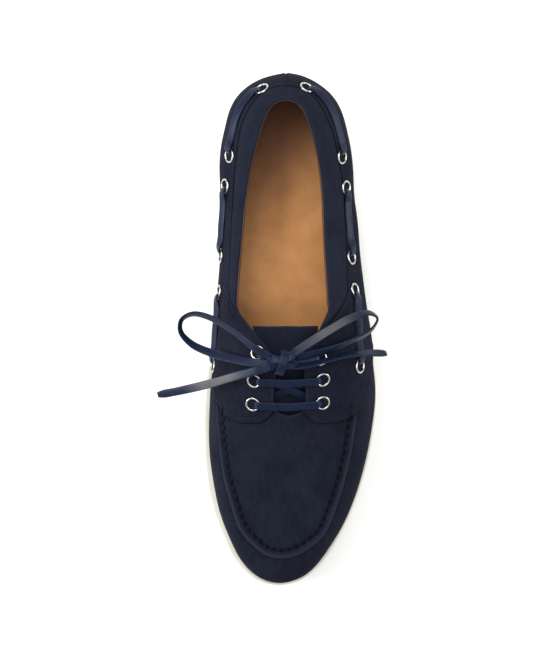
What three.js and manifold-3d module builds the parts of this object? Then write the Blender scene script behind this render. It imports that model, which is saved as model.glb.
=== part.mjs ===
// A left boat shoe: suede upper, leather laces and a pale rubber unit sole.
// Millimetres. +Z is up, the toe points to -Y, the lateral (outer) side is +X.
// "along" is the distance from the back of the heel towards the toe.

import * as THREE from 'three';
import { mergeVertices } from 'three/addons/utils/BufferGeometryUtils.js';
import Module from 'manifold-3d';

const wasm = await Module();
wasm.setup();

// ---------- Driving dimensions ----------

const LENGTH = 290.5;            // back of heel to tip of sole
const HEEL_CENTRE = 35.5;       // ribs turn about this point on the spine at the heel
const TOE_CENTRE = 236;        // and about this one at the toe
const TOE_END = 289.3;         // tip of the upper
const WALL = 2.0;              // suede and lining together
const GAP = 0.3;               // clearance where two pieces meet
const WIDEST = 8;              // height of the widest line above the feather edge
const TUCK = 0.07;             // how far the feather edge is drawn in, as a share of the half width

const SOLE_EDGE = 0.8;         // rounding of the sole's top and bottom edges
const TREAD_EDGE = 3;          // tread stops this far inside the sole's outline
const SIDE_BULGE = { out: 0.2, up: 0.4 };    // the side wall leans in by out at this share of its height
const RING_SHARES = { tread: 0.55, top: 0.6 }; // rings between the spine and the sole's edge
const INSOLE = 2.6;            // thickness of the sock
const INSOLE_INSET = 3.2;      // from the feather edge inwards, past the wall

const TONGUE = {
  start: 142, end: 204, thick: 1.8, depth: 2.6,
  topMedial: -27, topLateral: 15.5, medial: -20, lateral: 15,
};

const EYELET = { outer: 4.2, inner: 2.8, low: 0.3, high: 1.2 };
const LACE = { width: 4.8, thick: 1.3 };
const LACE_RISE = { share: 0.13, over: 0.17 };  // of a run: level over the rim, then down to the suede
const BAR_SAG = 1.2;
const CROSSING = { from: -15, to: 11, back: 174.5, front: 186, width: 4, thick: 1.0 };
const OVER_EYELET = EYELET.high + 2 * GAP + LACE.thick / 2;   // a lace's middle where it crosses a rim
const ON_SKIN = 0.5 + LACE.thick / 2;                     // and where it lies on the suede

// ---------- Tables: a row for each section ----------

const table = (columns, rows) =>
  Object.fromEntries(columns.map((name, k) => [name, rows.map((row) => row[k])]));

// The upper's outline in plan, from a centre line at X = 0.
const OUTLINE = table(['along', 'medial', 'lateral'], [
  [10.5, -28.5, 20.8],
  [35.5, -39.1, 31.8],
  [74, -40.3, 35.7],
  [113, -40.9, 39.7],
  [147, -43.9, 44.9],
  [180, -46.9, 48.2],
  [207, -47.3, 45.6],
  [233.5, -45.1, 39.1],
  [258, -38.3, 28.6],
  [277, -29.1, 16.3],
  [286.3, -18.4, 5.2],
]);
const HEEL_TIP = -3.8;         // X of the heel's backmost point
const TOE_TIP = -7.0;          // X of the toe's foremost point

// The last: feather line, crest and the roundness of each side's section.
const LAST = table(['along', 'spine', 'feather', 'crest', 'roundMedial', 'roundLateral'], [
  [0, -3.7, 22.6, 73, 2.0, 2.0],
  [14, -3.7, 22.4, 70, 2.0, 2.0],
  [35.5, -3.7, 21.6, 64.5, 2.0, 1.95],
  [74, -2.6, 19.4, 59.5, 2.0, 1.65],
  [95, -2.3, 17.7, 60.8, 2.0, 1.62],
  [114, -2.1, 16, 64.8, 2.0, 1.68],
  [133, -2.3, 14.3, 70.5, 2.0, 1.8],
  [147, -2.6, 13.3, 74, 2.1, 1.92],
  [160, -2.8, 12.6, 74.5, 2.2, 2.05],
  [180, -2.8, 12, 67, 2.35, 2.2],
  [206, -3.6, 12.2, 56.5, 2.55, 2.4],
  [236, -5.2, 14, 49.5, 2.7, 2.6],
  [261, -6, 16.8, 46, 2.7, 2.7],
  [276, -6.2, 19, 44, 2.7, 2.7],
  [291, -6.4, 21.5, 42, 2.7, 2.7],
]);

// The rubber sole: its underside, and how far it stands out beyond the upper.
const SOLE = table(['along', 'under', 'rimMedial', 'rimLateral'], [
  [0, 2.0, 0.2, 0.2],
  [9, 0, 0.2, 0.2],
  [80, 0, 0.2, 0.2],
  [94, 3.0, -0.4, 0],
  [115, 3.4, -0.6, 0],
  [134, 2.2, 0, 0.2],
  [154, 0, 0.8, 0.5],
  [186, 0, 1.9, 0.9],
  [210, 0, 2.2, 1.0],
  [236, 1.1, 2.5, 1.2],
  [260, 3.8, 2.6, 1.4],
  [280, 7.0, 2.0, 1.4],
  [291, 9.2, 1.2, 1.2],
]);

// The mouth of the shoe in plan: collar, V of the facings and the throat's slot.
const MOUTH = table(['along', 'medial', 'lateral'], [
  [18.7, -11.2, 1.9],
  [23.5, -15.2, 5.8],
  [44.5, -22.1, 13.0],
  [69, -27.0, 16.7],
  [96, -29.8, 17.9],
  [129, -32.4, 19.5],
  [133.8, -31.7, 19.3],
  [162, -11.2, 5.4],
  [166.4, -10.5, 5.1],
  [190.6, -10.4, 5.2],
]);
const MOUTH_BACK = { across: -4.8, along: 16.6 };
const SLOT_END = { across: -2.6, along: 193.5 };

const EYELETS = [
  { name: 'eyelet_heel', across: [-17.6, 7.0], along: [10.6, 10.3] },
  { name: 'eyelet_side_2', across: [-35.4, 27.1], along: [47.4, 48] },
  { name: 'eyelet_side_3', across: [-37.4, 29.6], along: [64, 65] },
  { name: 'eyelet_side_4', across: [-39.8, 32.6], along: [103.3, 104.6] },
  { name: 'eyelet_side_5', across: [-40.6, 34.3], along: [123.8, 123.1] },
  { name: 'eyelet_side_6', across: [-44.3, 36.6], along: [165.7, 165.9] },
  { name: 'eyelet_front_1', across: [-20.3, 13.8], along: [158.5, 161.5] },
  { name: 'eyelet_front_2', across: [-22.2, 15.6], along: [173.7, 173.1] },
  { name: 'eyelet_front_3', across: [-23, 15.9], along: [187, 186.2] },
];

// The bow. Each row: across, along, height, and the roll of the flat lace about its run.
const KNOT = { across: -7.0, along: 163.4, height: 78.6, size: [6.2, 4.4, 3.4] };
const BOW = {
  lace_loop_medial: [
    [-13.5, 161.2, 79.7, 35],
    [-22, 156.2, 78.2, 40],
    [-33.5, 146.9, 72.2, 50],
    [-46, 139.3, 64.8, 55],
    [-56.5, 136.8, 57.8, 60],
    [-62.8, 140.1, 53.3, 68],
    [-63.3, 146.4, 50.8, 62],
    [-57.4, 153.2, 51.8, 42],
    [-46.8, 158.3, 56.3, 22],
    [-34.4, 161.8, 66.3, 12],
    [-22, 164.2, 73.5, 8],
    [-13.8, 164.2, 75.3, 5],
  ],
  lace_loop_lateral: [
    [-1.2, 159, 81, 10],
    [7.6, 153, 80, 5],
    [20.3, 145.2, 74.6, 10],
    [32.3, 138.8, 67.3, 25],
    [42.3, 136.1, 61.8, 60],
    [46.8, 139.2, 58.8, 90],
    [43.5, 145.5, 57.2, 70],
    [33.6, 151.3, 61.8, 60],
    [20.5, 156.3, 72.2, 45],
    [8.7, 159.3, 77.2, 30],
    [0.4, 160.8, 77.8, 20],
  ],
  lace_end_medial: [
    [-13.5, 166, 79.4, 5],
    [-20.2, 168.1, 78, 0],
    [-31.6, 171.1, 71.2, -5],
    [-43, 174.5, 63.2, 0],
    [-54.6, 177.6, 54.8, 5],
    [-66.2, 180.2, 46.8, 8],
    [-76, 182, 40.8, 10],
  ],
  lace_end_lateral: [
    [-0.2, 166.4, 79.4, 50],
    [6.7, 165.5, 78.4, 58],
    [18.4, 162.4, 74, 62],
    [30.4, 159.8, 67.6, 62],
    [41.5, 158.6, 60.4, 50],
    [52.1, 158.6, 53, 30],
  ],
};

// ---------- Curves and interpolation ----------

// A smooth curve through a table's rows that never passes their highest or lowest value.
function slopes(xs, ys) {
  const secant = xs.slice(1).map((x, k) => (ys[k + 1] - ys[k]) / (x - xs[k]));
  return xs.map((_, k) => {
    if (k === 0) return secant[0];
    if (k === xs.length - 1) return secant[k - 1];
    const [a, b] = [secant[k - 1], secant[k]];
    return a * b <= 0 ? 0 : (2 * a * b) / (a + b);
  });
}

function column(rows, name) {
  const xs = rows.along;
  const ys = rows[name];
  const ms = slopes(xs, ys);
  return (along) => {
    const x = Math.min(Math.max(along, xs[0]), xs[xs.length - 1]);
    let k = xs.findIndex((end, i) => i > 0 && x <= end) - 1;
    if (k < 0) k = 0;
    const h = xs[k + 1] - xs[k];
    const t = (x - xs[k]) / h;
    return ys[k] * (1 + 2 * t) * (1 - t) ** 2 + ys[k + 1] * t * t * (3 - 2 * t)
      + ms[k] * h * t * (1 - t) ** 2 - ms[k + 1] * h * t * t * (1 - t);
  };
}

const spineAt = column(LAST, 'spine');
const featherAt = column(LAST, 'feather');
const crestAt = column(LAST, 'crest');
const roundMedialAt = column(LAST, 'roundMedial');
const roundLateralAt = column(LAST, 'roundLateral');
const underAt = column(SOLE, 'under');
const rimMedialAt = column(SOLE, 'rimMedial');
const rimLateralAt = column(SOLE, 'rimLateral');

// A closed loop from one end point, down the lateral column, round the other end and back.
function loop(rows, first, last) {
  const lateral = rows.along.map((along, k) => [rows.lateral[k], along]);
  const medial = rows.along.map((along, k) => [rows.medial[k], along]).reverse();
  return [first, ...lateral, last, ...medial].map(([x, y]) => new THREE.Vector3(x, y, 0));
}

const OUTLINE_SAMPLES = 1200;
const outlineCurve = new THREE.CatmullRomCurve3(
  loop(OUTLINE, [HEEL_TIP, 0], [TOE_TIP, TOE_END]), true, 'centripetal')
  .getPoints(OUTLINE_SAMPLES);

const backHalf = loop(MOUTH, [MOUTH_BACK.across, MOUTH_BACK.along], [SLOT_END.across, SLOT_END.along]);
const mouthCurve = [...backHalf, backHalf[0]];

// How far a ray runs in plan before it meets a closed curve.
function reach(ax, ay, dx, dy, curve) {
  let far = 0;
  for (let k = 0; k + 1 < curve.length; k += 1) {
    const [p, q] = [curve[k], curve[k + 1]];
    const [ex, ey] = [q.x - p.x, q.y - p.y];
    const det = dy * ex - dx * ey;
    if (Math.abs(det) > 1e-9) {
      const r = ((p.y - ay) * ex - (p.x - ax) * ey) / det;
      const w = (dx * (p.y - ay) - dy * (p.x - ax)) / det;
      if (w >= -1e-9 && w <= 1 + 1e-9 && r > far) far = r;
    }
  }
  return far;
}

// ---------- The last ----------

// A rib is a section through the last. Ribs stand square to the spine between the two
// centres, and fan out about them at the heel and the toe.
function rib(side, station) {
  let centre = station;
  let turn = 0;
  if (station < HEEL_CENTRE) {
    centre = HEEL_CENTRE;
    turn = -(Math.PI / 2) * (1 - station / HEEL_CENTRE);
  } else if (station > TOE_CENTRE) {
    centre = TOE_CENTRE;
    turn = (Math.PI / 2) * (station - TOE_CENTRE) / (TOE_END - TOE_CENTRE);
  }
  const ax = spineAt(centre);
  const dx = side * Math.cos(turn);
  const dy = Math.sin(turn);
  const half = reach(ax, centre, dx, dy, outlineCurve);
  return { ax, ay: centre, dx, dy, half, lateral: (1 + dx) / 2 };
}

const CREST = Math.PI / 2;      // the level of the crest
const across = (r, out) => r.ax + r.dx * out;
const along = (r, out) => r.ay + r.dy * out;

function roundness(r, at) {
  return roundMedialAt(at) * (1 - r.lateral) + roundLateralAt(at) * r.lateral;
}

// A point of the last's surface. Below 0, level runs from the feather edge (-1) to the
// widest line; above 0 it is the angle of a superellipse that ends on the crest.
function lastPoint(r, level) {
  let out;
  let share = 0;
  let low = 1;
  if (level < 0) {
    out = r.half * (1 - TUCK * level * level);
    low = 1 + level;
  } else {
    const power = 2 / roundness(r, along(r, r.half * Math.cos(level)));
    out = level > CREST - 1e-6 ? 0 : r.half * Math.cos(level) ** power;
    share = Math.sin(level) ** power;
  }
  const y = along(r, out);
  const base = featherAt(y) + GAP;
  const z = base + WIDEST * low + (crestAt(y) - base - WIDEST) * share;
  return new THREE.Vector3(across(r, out), y, z);
}

// The level at which a rib comes in to a given distance from its spine point.
function levelAt(r, out) {
  const power = roundness(r, along(r, out)) / 2;
  return Math.acos(Math.min(1, Math.max(0, out / r.half)) ** power);
}

// The outward normal, from neighbouring ribs and levels.
function lastNormal(side, station, level) {
  const [ds, dl] = [0.6, 0.02];
  const s = Math.min(Math.max(station, ds), TOE_END - ds);
  const l = Math.min(Math.max(level, -1 + dl), CREST - 2 * dl);
  const a = lastPoint(rib(side, s + ds), l).sub(lastPoint(rib(side, s - ds), l));
  const b = lastPoint(rib(side, s), l + dl).sub(lastPoint(rib(side, s), l - dl));
  return a.cross(b).normalize().multiplyScalar(side);
}

// A place on the upper, lifted off it, with its normal.
function onLast(side, station, level, lift = 0) {
  const normal = lastNormal(side, station, level);
  const point = lastPoint(rib(side, station), level).addScaledVector(normal, lift);
  return { point, normal };
}

// The side, station and level of a place given in plan.
function locate(x, y) {
  const centre = Math.min(Math.max(y, HEEL_CENTRE), TOE_CENTRE);
  const [ex, ey] = [x - spineAt(centre), y - centre];
  const side = ex < 0 ? -1 : 1;
  const turn = Math.atan2(Math.abs(ey), Math.abs(ex)) / (Math.PI / 2);
  let station = y;
  if (y < HEEL_CENTRE) station = HEEL_CENTRE * (1 - turn);
  if (y > TOE_CENTRE) station = TOE_CENTRE + (TOE_END - TOE_CENTRE) * turn;
  return { side, station, level: levelAt(rib(side, station), Math.hypot(ex, ey)) };
}

function onLastInPlan(x, y, lift) {
  const { side, station, level } = locate(x, y);
  return onLast(side, station, level, lift);
}

// ---------- Mesh helpers ----------

// The row frame from plan values: along runs towards -Y.
const toFrame = (p) => new THREE.Vector3(p.x, LENGTH / 2 - p.y, p.z);
const turnedToFrame = (v) => new THREE.Vector3(v.x, -v.y, v.z);

// One closed mesh from plan points and triangles: equal points are joined.
function solid(points, triangles) {
  const position = new Float32Array(points.length * 3);
  points.forEach((p, k) => toFrame(p).toArray(position, 3 * k));
  const geometry = new THREE.BufferGeometry();
  geometry.setAttribute('position', new THREE.BufferAttribute(position, 3));
  geometry.setIndex(triangles.flat());
  const merged = mergeVertices(geometry, 1e-3);
  const index = merged.getIndex().array;
  const kept = [];
  for (let k = 0; k < index.length; k += 3) {
    const [a, b, c] = [index[k], index[k + 1], index[k + 2]];
    if (a !== b && b !== c && c !== a) kept.push(a, b, c);
  }
  merged.setIndex(kept);
  return outward(merged);
}

// Turns every face round if the mesh encloses a negative volume.
function outward(geometry) {
  const p = geometry.getAttribute('position');
  const index = [...geometry.getIndex().array];
  const [a, b, c] = [new THREE.Vector3(), new THREE.Vector3(), new THREE.Vector3()];
  let volume = 0;
  for (let k = 0; k < index.length; k += 3) {
    a.fromBufferAttribute(p, index[k]);
    b.fromBufferAttribute(p, index[k + 1]);
    c.fromBufferAttribute(p, index[k + 2]);
    volume += a.dot(b.cross(c));
  }
  if (volume < 0) {
    for (let k = 0; k < index.length; k += 3) [index[k], index[k + 1]] = [index[k + 1], index[k]];
    geometry.setIndex(index);
  }
  geometry.computeVertexNormals();
  return geometry;
}

// Two triangles for each cell between rows a and b of a grid, in the order of four corners.
const quad = (p, q, r, s) => [[p, q, r], [p, r, s]];

// A solid skinned over closed rings of equal count; the end rings lie on the spine.
function loft(rings) {
  const count = rings[0].length;
  const faces = [];
  for (let k = 0; k + 1 < rings.length; k += 1) {
    for (let i = 0; i < count; i += 1) {
      const j = (i + 1) % count;
      faces.push(...quad(k * count + i, k * count + j, (k + 1) * count + j, (k + 1) * count + i));
    }
  }
  return solid(rings.flat(), faces);
}

// A closed slab between two grids of the same size.
function slab(upper, lower) {
  const [rows, columns] = [upper.length, upper[0].length];
  const points = [...upper.flat(), ...lower.flat()];
  const top = (i, j) => i * columns + j;
  const low = (i, j) => rows * columns + i * columns + j;
  const faces = [];
  for (let i = 0; i + 1 < rows; i += 1) {
    for (let j = 0; j + 1 < columns; j += 1) {
      faces.push(...quad(top(i, j), top(i, j + 1), top(i + 1, j + 1), top(i + 1, j)));
      faces.push(...quad(low(i + 1, j), low(i + 1, j + 1), low(i, j + 1), low(i, j)));
    }
    faces.push(...quad(top(i, 0), top(i + 1, 0), low(i + 1, 0), low(i, 0)));
    const end = columns - 1;
    faces.push(...quad(low(i, end), low(i + 1, end), top(i + 1, end), top(i, end)));
  }
  for (let j = 0; j + 1 < columns; j += 1) {
    const end = rows - 1;
    faces.push(...quad(low(0, j), low(0, j + 1), top(0, j + 1), top(0, j)));
    faces.push(...quad(top(end, j), top(end, j + 1), low(end, j + 1), low(end, j)));
  }
  return solid(points, faces);
}

// A flat strap along a run of { point, normal }, its broad face square to the normal.
function strap(run, width = LACE.width, thick = LACE.thick) {
  const rings = run.map(({ point, normal }, k) => {
    const before = run[Math.max(0, k - 1)].point;
    const after = run[Math.min(run.length - 1, k + 1)].point;
    const way = after.clone().sub(before).normalize();
    const side = way.clone().cross(normal).normalize().multiplyScalar(width / 2);
    const face = side.clone().cross(way).normalize().multiplyScalar(thick / 2);
    return [[1, 1], [-1, 1], [-1, -1], [1, -1]].map(([a, b]) =>
      point.clone().addScaledVector(side, a).addScaledVector(face, b));
  });
  const faces = [];
  for (let k = 0; k + 1 < rings.length; k += 1) {
    for (let i = 0; i < 4; i += 1) {
      const j = (i + 1) % 4;
      faces.push(...quad(4 * k + i, 4 * k + j, 4 * k + 4 + j, 4 * k + 4 + i));
    }
  }
  const end = 4 * (rings.length - 1);
  faces.push(...quad(3, 2, 1, 0), ...quad(end, end + 1, end + 2, end + 3));
  return solid(rings.flat(), faces);
}

function toManifold(geometry) {
  return new wasm.Manifold(new wasm.Mesh({
    numProp: 3,
    vertProperties: new Float32Array(geometry.getAttribute('position').array),
    triVerts: new Uint32Array(geometry.getIndex().array),
  }));
}

function fromManifold(body) {
  const mesh = body.getMesh();
  const geometry = new THREE.BufferGeometry();
  geometry.setAttribute('position', new THREE.BufferAttribute(new Float32Array(mesh.vertProperties), 3));
  geometry.setIndex([...mesh.triVerts]);
  return outward(geometry);
}

// ---------- Ribs all the way round ----------

const span = (from, to, steps) => Array.from({ length: steps }, (_, k) => from + (to - from) * k / steps);

const STATIONS = [
  ...span(0, HEEL_CENTRE, 9),
  ...span(HEEL_CENTRE, 129, 11),
  ...span(129, 166.4, 6),
  ...span(166.4, MOUTH.along.at(-1), 3),
  MOUTH.along.at(-1),
  SLOT_END.along,
  ...span(202, TOE_CENTRE, 4),
  ...span(TOE_CENTRE, TOE_END, 9),
  TOE_END,
];
const RIM = [
  ...STATIONS.slice(0, -1).map((station) => ({ side: 1, station })),
  ...STATIONS.slice(1).reverse().map((station) => ({ side: -1, station })),
];
const RIBS = RIM.map(({ side, station }) => rib(side, station));

// ---------- Upper ----------

const LOW_ROWS = 3;
const HIGH_ROWS = 11;

function upperGrid() {
  return RIM.map(({ side, station }, k) => {
    const r = RIBS[k];
    const open = station < SLOT_END.along;
    const out = open ? reach(r.ax, r.ay, r.dx, r.dy, mouthCurve) : 0;
    const top = levelAt(r, out);
    const levels = [
      ...span(-1, 0, LOW_ROWS),
      ...span(0, top, HIGH_ROWS),
      top,
    ];
    return { open, outer: levels.map((level) => onLast(side, station, level)) };
  });
}

function makeUpper() {
  const grid = upperGrid();
  const rows = LOW_ROWS + HIGH_ROWS + 1;
  const count = grid.length;
  // Points that lie together, on the crest, take one shared normal so that the wall stays closed.
  const shared = new Map();
  const key = (p) => [p.x, p.y, p.z].map((v) => Math.round(v * 100)).join();
  grid.forEach(({ outer }) => outer.forEach(({ point, normal }) => {
    const sum = shared.get(key(point)) ?? new THREE.Vector3();
    shared.set(key(point), sum.add(normal));
  }));
  const outer = [];
  const inner = [];
  grid.forEach((line) => line.outer.forEach(({ point }, j) => {
    const normal = shared.get(key(point)).clone().normalize();
    const inside = point.clone().addScaledVector(normal, -WALL);
    if (j === 0) inside.z = point.z;
    outer.push(point);
    inner.push(inside);
  }));
  const faces = [];
  const at = (i, j) => (i % count) * rows + j;
  const deep = (i, j) => count * rows + at(i, j);
  for (let i = 0; i < count; i += 1) {
    for (let j = 0; j + 1 < rows; j += 1) {
      faces.push(...quad(at(i, j), at(i + 1, j), at(i + 1, j + 1), at(i, j + 1)));
      faces.push(...quad(deep(i, j + 1), deep(i + 1, j + 1), deep(i + 1, j), deep(i, j)));
    }
    faces.push(...quad(deep(i, 0), deep(i + 1, 0), at(i + 1, 0), at(i, 0)));
    if (grid[i].open || grid[(i + 1) % count].open) {
      const j = rows - 1;
      faces.push(...quad(at(i, j), at(i + 1, j), deep(i + 1, j), deep(i, j)));
    }
  }
  return solid([...outer, ...inner], faces);
}

// ---------- Sole and insole ----------

// A ring of plan points, each a distance in from an outline, at a height that follows along.
function ring(out, height) {
  return RIBS.map((r) => {
    const o = out(r);
    return new THREE.Vector3(across(r, o), along(r, o), height(along(r, o)));
  });
}

function rim(r) {
  const at = along(r, r.half);
  return r.half + rimMedialAt(at) * (1 - r.lateral) + rimLateralAt(at) * r.lateral;
}

function makeSole() {
  const side = (share) => (y) => underAt(y) + (featherAt(y) - underAt(y)) * share;
  return loft([
    ring(() => 0, underAt),
    ring((r) => RING_SHARES.tread * r.half, underAt),
    ring((r) => rim(r) - TREAD_EDGE, underAt),
    ring((r) => rim(r) - SOLE_EDGE, (y) => underAt(y) + SOLE_EDGE),
    ring((r) => rim(r) - SIDE_BULGE.out, side(SIDE_BULGE.up)),
    ring((r) => rim(r), (y) => featherAt(y) - SOLE_EDGE),
    ring((r) => rim(r) - SOLE_EDGE, featherAt),
    ring((r) => RING_SHARES.top * r.half, featherAt),
    ring(() => 0, featherAt),
  ]);
}

function makeInsole() {
  const edge = (r) => r.half * (1 - TUCK) - INSOLE_INSET;
  const low = (y) => featherAt(y) + GAP;
  const top = (y) => featherAt(y) + GAP + INSOLE;
  return loft([ring(() => 0, low), ring(edge, low), ring(edge, top), ring(() => 0, top)]);
}

// ---------- Tongue ----------

// Straight at its top edge, it narrows a little and runs on under the vamp.
function makeTongue() {
  const [long, wide] = [10, 12];
  const depth = WALL + TONGUE.depth;
  const sheet = (lift) => Array.from({ length: long + 1 }, (_, i) => {
    const t = i / long;
    const y = TONGUE.start + (TONGUE.end - TONGUE.start) * t;
    const ease = Math.min(1, 3 * t);
    const left = TONGUE.topMedial + (TONGUE.medial - TONGUE.topMedial) * ease;
    const right = TONGUE.topLateral + (TONGUE.lateral - TONGUE.topLateral) * ease;
    return Array.from({ length: wide + 1 }, (__, j) => {
      const x = left + (right - left) * j / wide;
      const off = x - spineAt(y);
      const normal = onLastInPlan(x, y, 0);
      const nearCrest = Math.abs(off) < 0.5 ? onLastInPlan(spineAt(y) + 0.6, y, 0) : normal;
      return nearCrest.point.clone().addScaledVector(nearCrest.normal, lift)
        .setX(normal.point.x + nearCrest.normal.x * lift * Math.min(1, Math.abs(off)));
    });
  });
  return slab(sheet(-depth), sheet(-depth - TONGUE.thick));
}

// ---------- Eyelets and laces ----------

const SIDES = [{ word: 'medial', k: 0 }, { word: 'lateral', k: 1 }];
const UP = new THREE.Vector3(0, 0, 1);
const ROUND_SIDES = 12;

function makeEyelet() {
  const { outer, inner, low, high } = EYELET;
  const round = 0.35;
  const profile = [
    [inner, low], [outer, low], [outer, high - round], [outer - round, high],
    [inner + round, high], [inner, high - round], [inner, low],
  ].map(([r, z]) => new THREE.Vector2(r, z));
  const geometry = new THREE.LatheGeometry(profile, ROUND_SIDES).rotateX(Math.PI / 2);
  geometry.deleteAttribute('normal');
  geometry.deleteAttribute('uv');
  return outward(mergeVertices(geometry, 1e-3));
}

// A stretch of lace over the suede from one eyelet to the next.
function laceRun(from, to, steps) {
  const [a, b] = [locate(...from), locate(...to)];
  return strap(Array.from({ length: steps + 1 }, (_, k) => {
    const t = k / steps;
    const past = (Math.min(t, 1 - t) - LACE_RISE.share) / LACE_RISE.over;
    const nearEnd = 1 - Math.min(1, Math.max(0, past));
    const lift = ON_SKIN + (OVER_EYELET - ON_SKIN) * nearEnd;
    const station = a.station + (b.station - a.station) * t;
    return onLast(a.side, station, a.level + (b.level - a.level) * t, lift);
  }));
}

// A plan place kept just off the crest line, where the last's two sides meet.
const CREST_MARGIN = 0.6;
const offCrest = (x, y) => (Math.abs(x - spineAt(y)) < CREST_MARGIN ? spineAt(y) + CREST_MARGIN : x);

// A bar across the throat, from eyelet to eyelet.
function makeBar(row) {
  const { across: [left, right], along: [from, to] } = row;
  const steps = 10;
  return strap(Array.from({ length: steps + 1 }, (_, k) => {
    const t = k / steps;
    const y = from + (to - from) * t + BAR_SAG * Math.sin(Math.PI * t);
    return onLastInPlan(offCrest(left + (right - left) * t, y), y, OVER_EYELET);
  }));
}

// Two strands that cross on the tongue, below the facings, joined where they meet.
function makeCrossing() {
  const depth = -(WALL + TONGUE.depth / 2);
  const strand = (x0, y0, x1, y1) => strap([0, 0.25, 0.5, 0.75, 1].map((t) => {
    const x = x0 + (x1 - x0) * t;
    const y = y0 + (y1 - y0) * t;
    return onLastInPlan(offCrest(x, y), y, depth);
  }), CROSSING.width, CROSSING.thick);
  const { from, to, back, front } = CROSSING;
  const first = toManifold(strand(from, back, to, front));
  const second = toManifold(strand(from, front, to, back));
  return fromManifold(first.add(second));
}

// A free stretch of the bow, smooth through its rows; the roll turns its broad face.
function makeFree(rows) {
  const curve = new THREE.CatmullRomCurve3(
    rows.map(([x, y, z]) => new THREE.Vector3(x, y, z)), false, 'centripetal');
  const steps = 2 * (rows.length - 1);
  const run = Array.from({ length: steps + 1 }, (_, k) => {
    const place = k / 2;
    const low = Math.min(Math.floor(place), rows.length - 2);
    const roll = rows[low][3] + (rows[low + 1][3] - rows[low][3]) * (place - low);
    const t = place / (rows.length - 1);
    const way = curve.getTangent(t);
    const level = UP.clone().addScaledVector(way, -way.z).normalize();
    return { point: curve.getPoint(t), normal: level.applyAxisAngle(way, roll * Math.PI / 180) };
  });
  return strap(run);
}

function makeKnot() {
  const geometry = new THREE.SphereGeometry(1, ROUND_SIDES, 8);
  geometry.deleteAttribute('normal');
  geometry.deleteAttribute('uv');
  geometry.scale(...KNOT.size);
  return outward(mergeVertices(geometry, 1e-4));
}

// ---------- Materials ----------

const finish = (color, roughness, metalness = 0) =>
  new THREE.MeshStandardMaterial({ color, roughness, metalness });
const suede = () => finish(0x23263a, 0.95);
const tan = () => finish(0xb98a5a, 0.55);
const rubber = () => finish(0xdcdccf, 0.7);
const laceLeather = () => finish(0x24335c, 0.4);
const nickel = () => finish(0xc9c8c2, 0.3, 1);

// ---------- Assembly ----------

const group = new THREE.Group();

function place(name, geometry, material) {
  const mesh = new THREE.Mesh(geometry, material);
  mesh.name = name;
  group.add(mesh);
  return mesh;
}

place('sole', makeSole(), rubber());
place('insole', makeInsole(), tan());
place('upper', makeUpper(), suede());
place('tongue', makeTongue(), suede());

for (const row of EYELETS) {
  for (const { word, k } of SIDES) {
    const { point, normal } = onLastInPlan(row.across[k], row.along[k], 0);
    const ringMesh = place(`${row.name}_${word}`, makeEyelet(), nickel());
    ringMesh.position.copy(toFrame(point));
    ringMesh.quaternion.setFromUnitVectors(UP, turnedToFrame(normal));
  }
}

const eyelet = (number, k) => [EYELETS[number].across[k], EYELETS[number].along[k]];
for (const { word, k } of SIDES) {
  place(`lace_heel_${word}`, laceRun(eyelet(0, k), eyelet(1, k), 10), laceLeather());
  place(`lace_quarter_${word}`, laceRun(eyelet(2, k), eyelet(3, k), 8), laceLeather());
  place(`lace_facing_${word}`, laceRun(eyelet(4, k), eyelet(5, k), 8), laceLeather());
}
place('lace_bar_upper', makeBar(EYELETS[7]), laceLeather());
place('lace_bar_lower', makeBar(EYELETS[8]), laceLeather());
place('lace_crossing', makeCrossing(), laceLeather());

const knot = place('lace_knot', makeKnot(), laceLeather());
knot.position.copy(toFrame(new THREE.Vector3(KNOT.across, KNOT.along, KNOT.height)));
for (const [name, rows] of Object.entries(BOW)) {
  place(name, makeFree(rows), laceLeather());
}

export default group;
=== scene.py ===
"""A left boat shoe: navy suede upper, leather laces, tan lining and sock, pale rubber sole.

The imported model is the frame. Every visible piece is a finer surface that stands for the
frame's nodes, worked out in millimetres on the last in plan coordinates: across (+X, the
lateral side), along (from the back of the heel towards the toe) and height. `to_frame`
turns those into the frame's metres, where along runs towards -Y.
"""

import logging
import math
from collections.abc import Callable, Sequence
from dataclasses import dataclass, field, replace
from enum import Enum

import bpy
import numpy as np
from mathutils import Matrix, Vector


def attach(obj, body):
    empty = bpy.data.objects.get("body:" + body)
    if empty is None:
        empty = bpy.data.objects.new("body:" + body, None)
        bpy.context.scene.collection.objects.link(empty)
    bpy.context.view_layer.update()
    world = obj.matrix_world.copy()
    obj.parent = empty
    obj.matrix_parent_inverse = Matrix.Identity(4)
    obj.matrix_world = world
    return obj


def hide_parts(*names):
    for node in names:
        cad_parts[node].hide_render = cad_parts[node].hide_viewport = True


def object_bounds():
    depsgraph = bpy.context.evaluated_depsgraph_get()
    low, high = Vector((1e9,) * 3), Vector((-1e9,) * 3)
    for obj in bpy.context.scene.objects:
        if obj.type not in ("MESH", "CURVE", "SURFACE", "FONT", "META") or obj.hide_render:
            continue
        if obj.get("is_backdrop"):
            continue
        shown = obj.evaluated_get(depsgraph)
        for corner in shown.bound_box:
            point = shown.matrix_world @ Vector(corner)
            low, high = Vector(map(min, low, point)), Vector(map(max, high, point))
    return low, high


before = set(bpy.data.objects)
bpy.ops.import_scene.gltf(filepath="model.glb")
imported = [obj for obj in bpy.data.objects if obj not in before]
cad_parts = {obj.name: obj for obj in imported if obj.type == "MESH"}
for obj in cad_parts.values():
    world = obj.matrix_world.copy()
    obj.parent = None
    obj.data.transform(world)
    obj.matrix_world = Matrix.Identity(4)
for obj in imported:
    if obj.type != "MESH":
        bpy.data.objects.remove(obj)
CAD_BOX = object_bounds()

Array = np.ndarray
Colour = tuple[float, float, float]

log = logging.getLogger("boat_shoe")

BODY = "root"
LENGTH = 290.5              # back of heel to tip of sole
MM = 0.001
UP = np.array([0.0, 0.0, 1.0])

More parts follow.
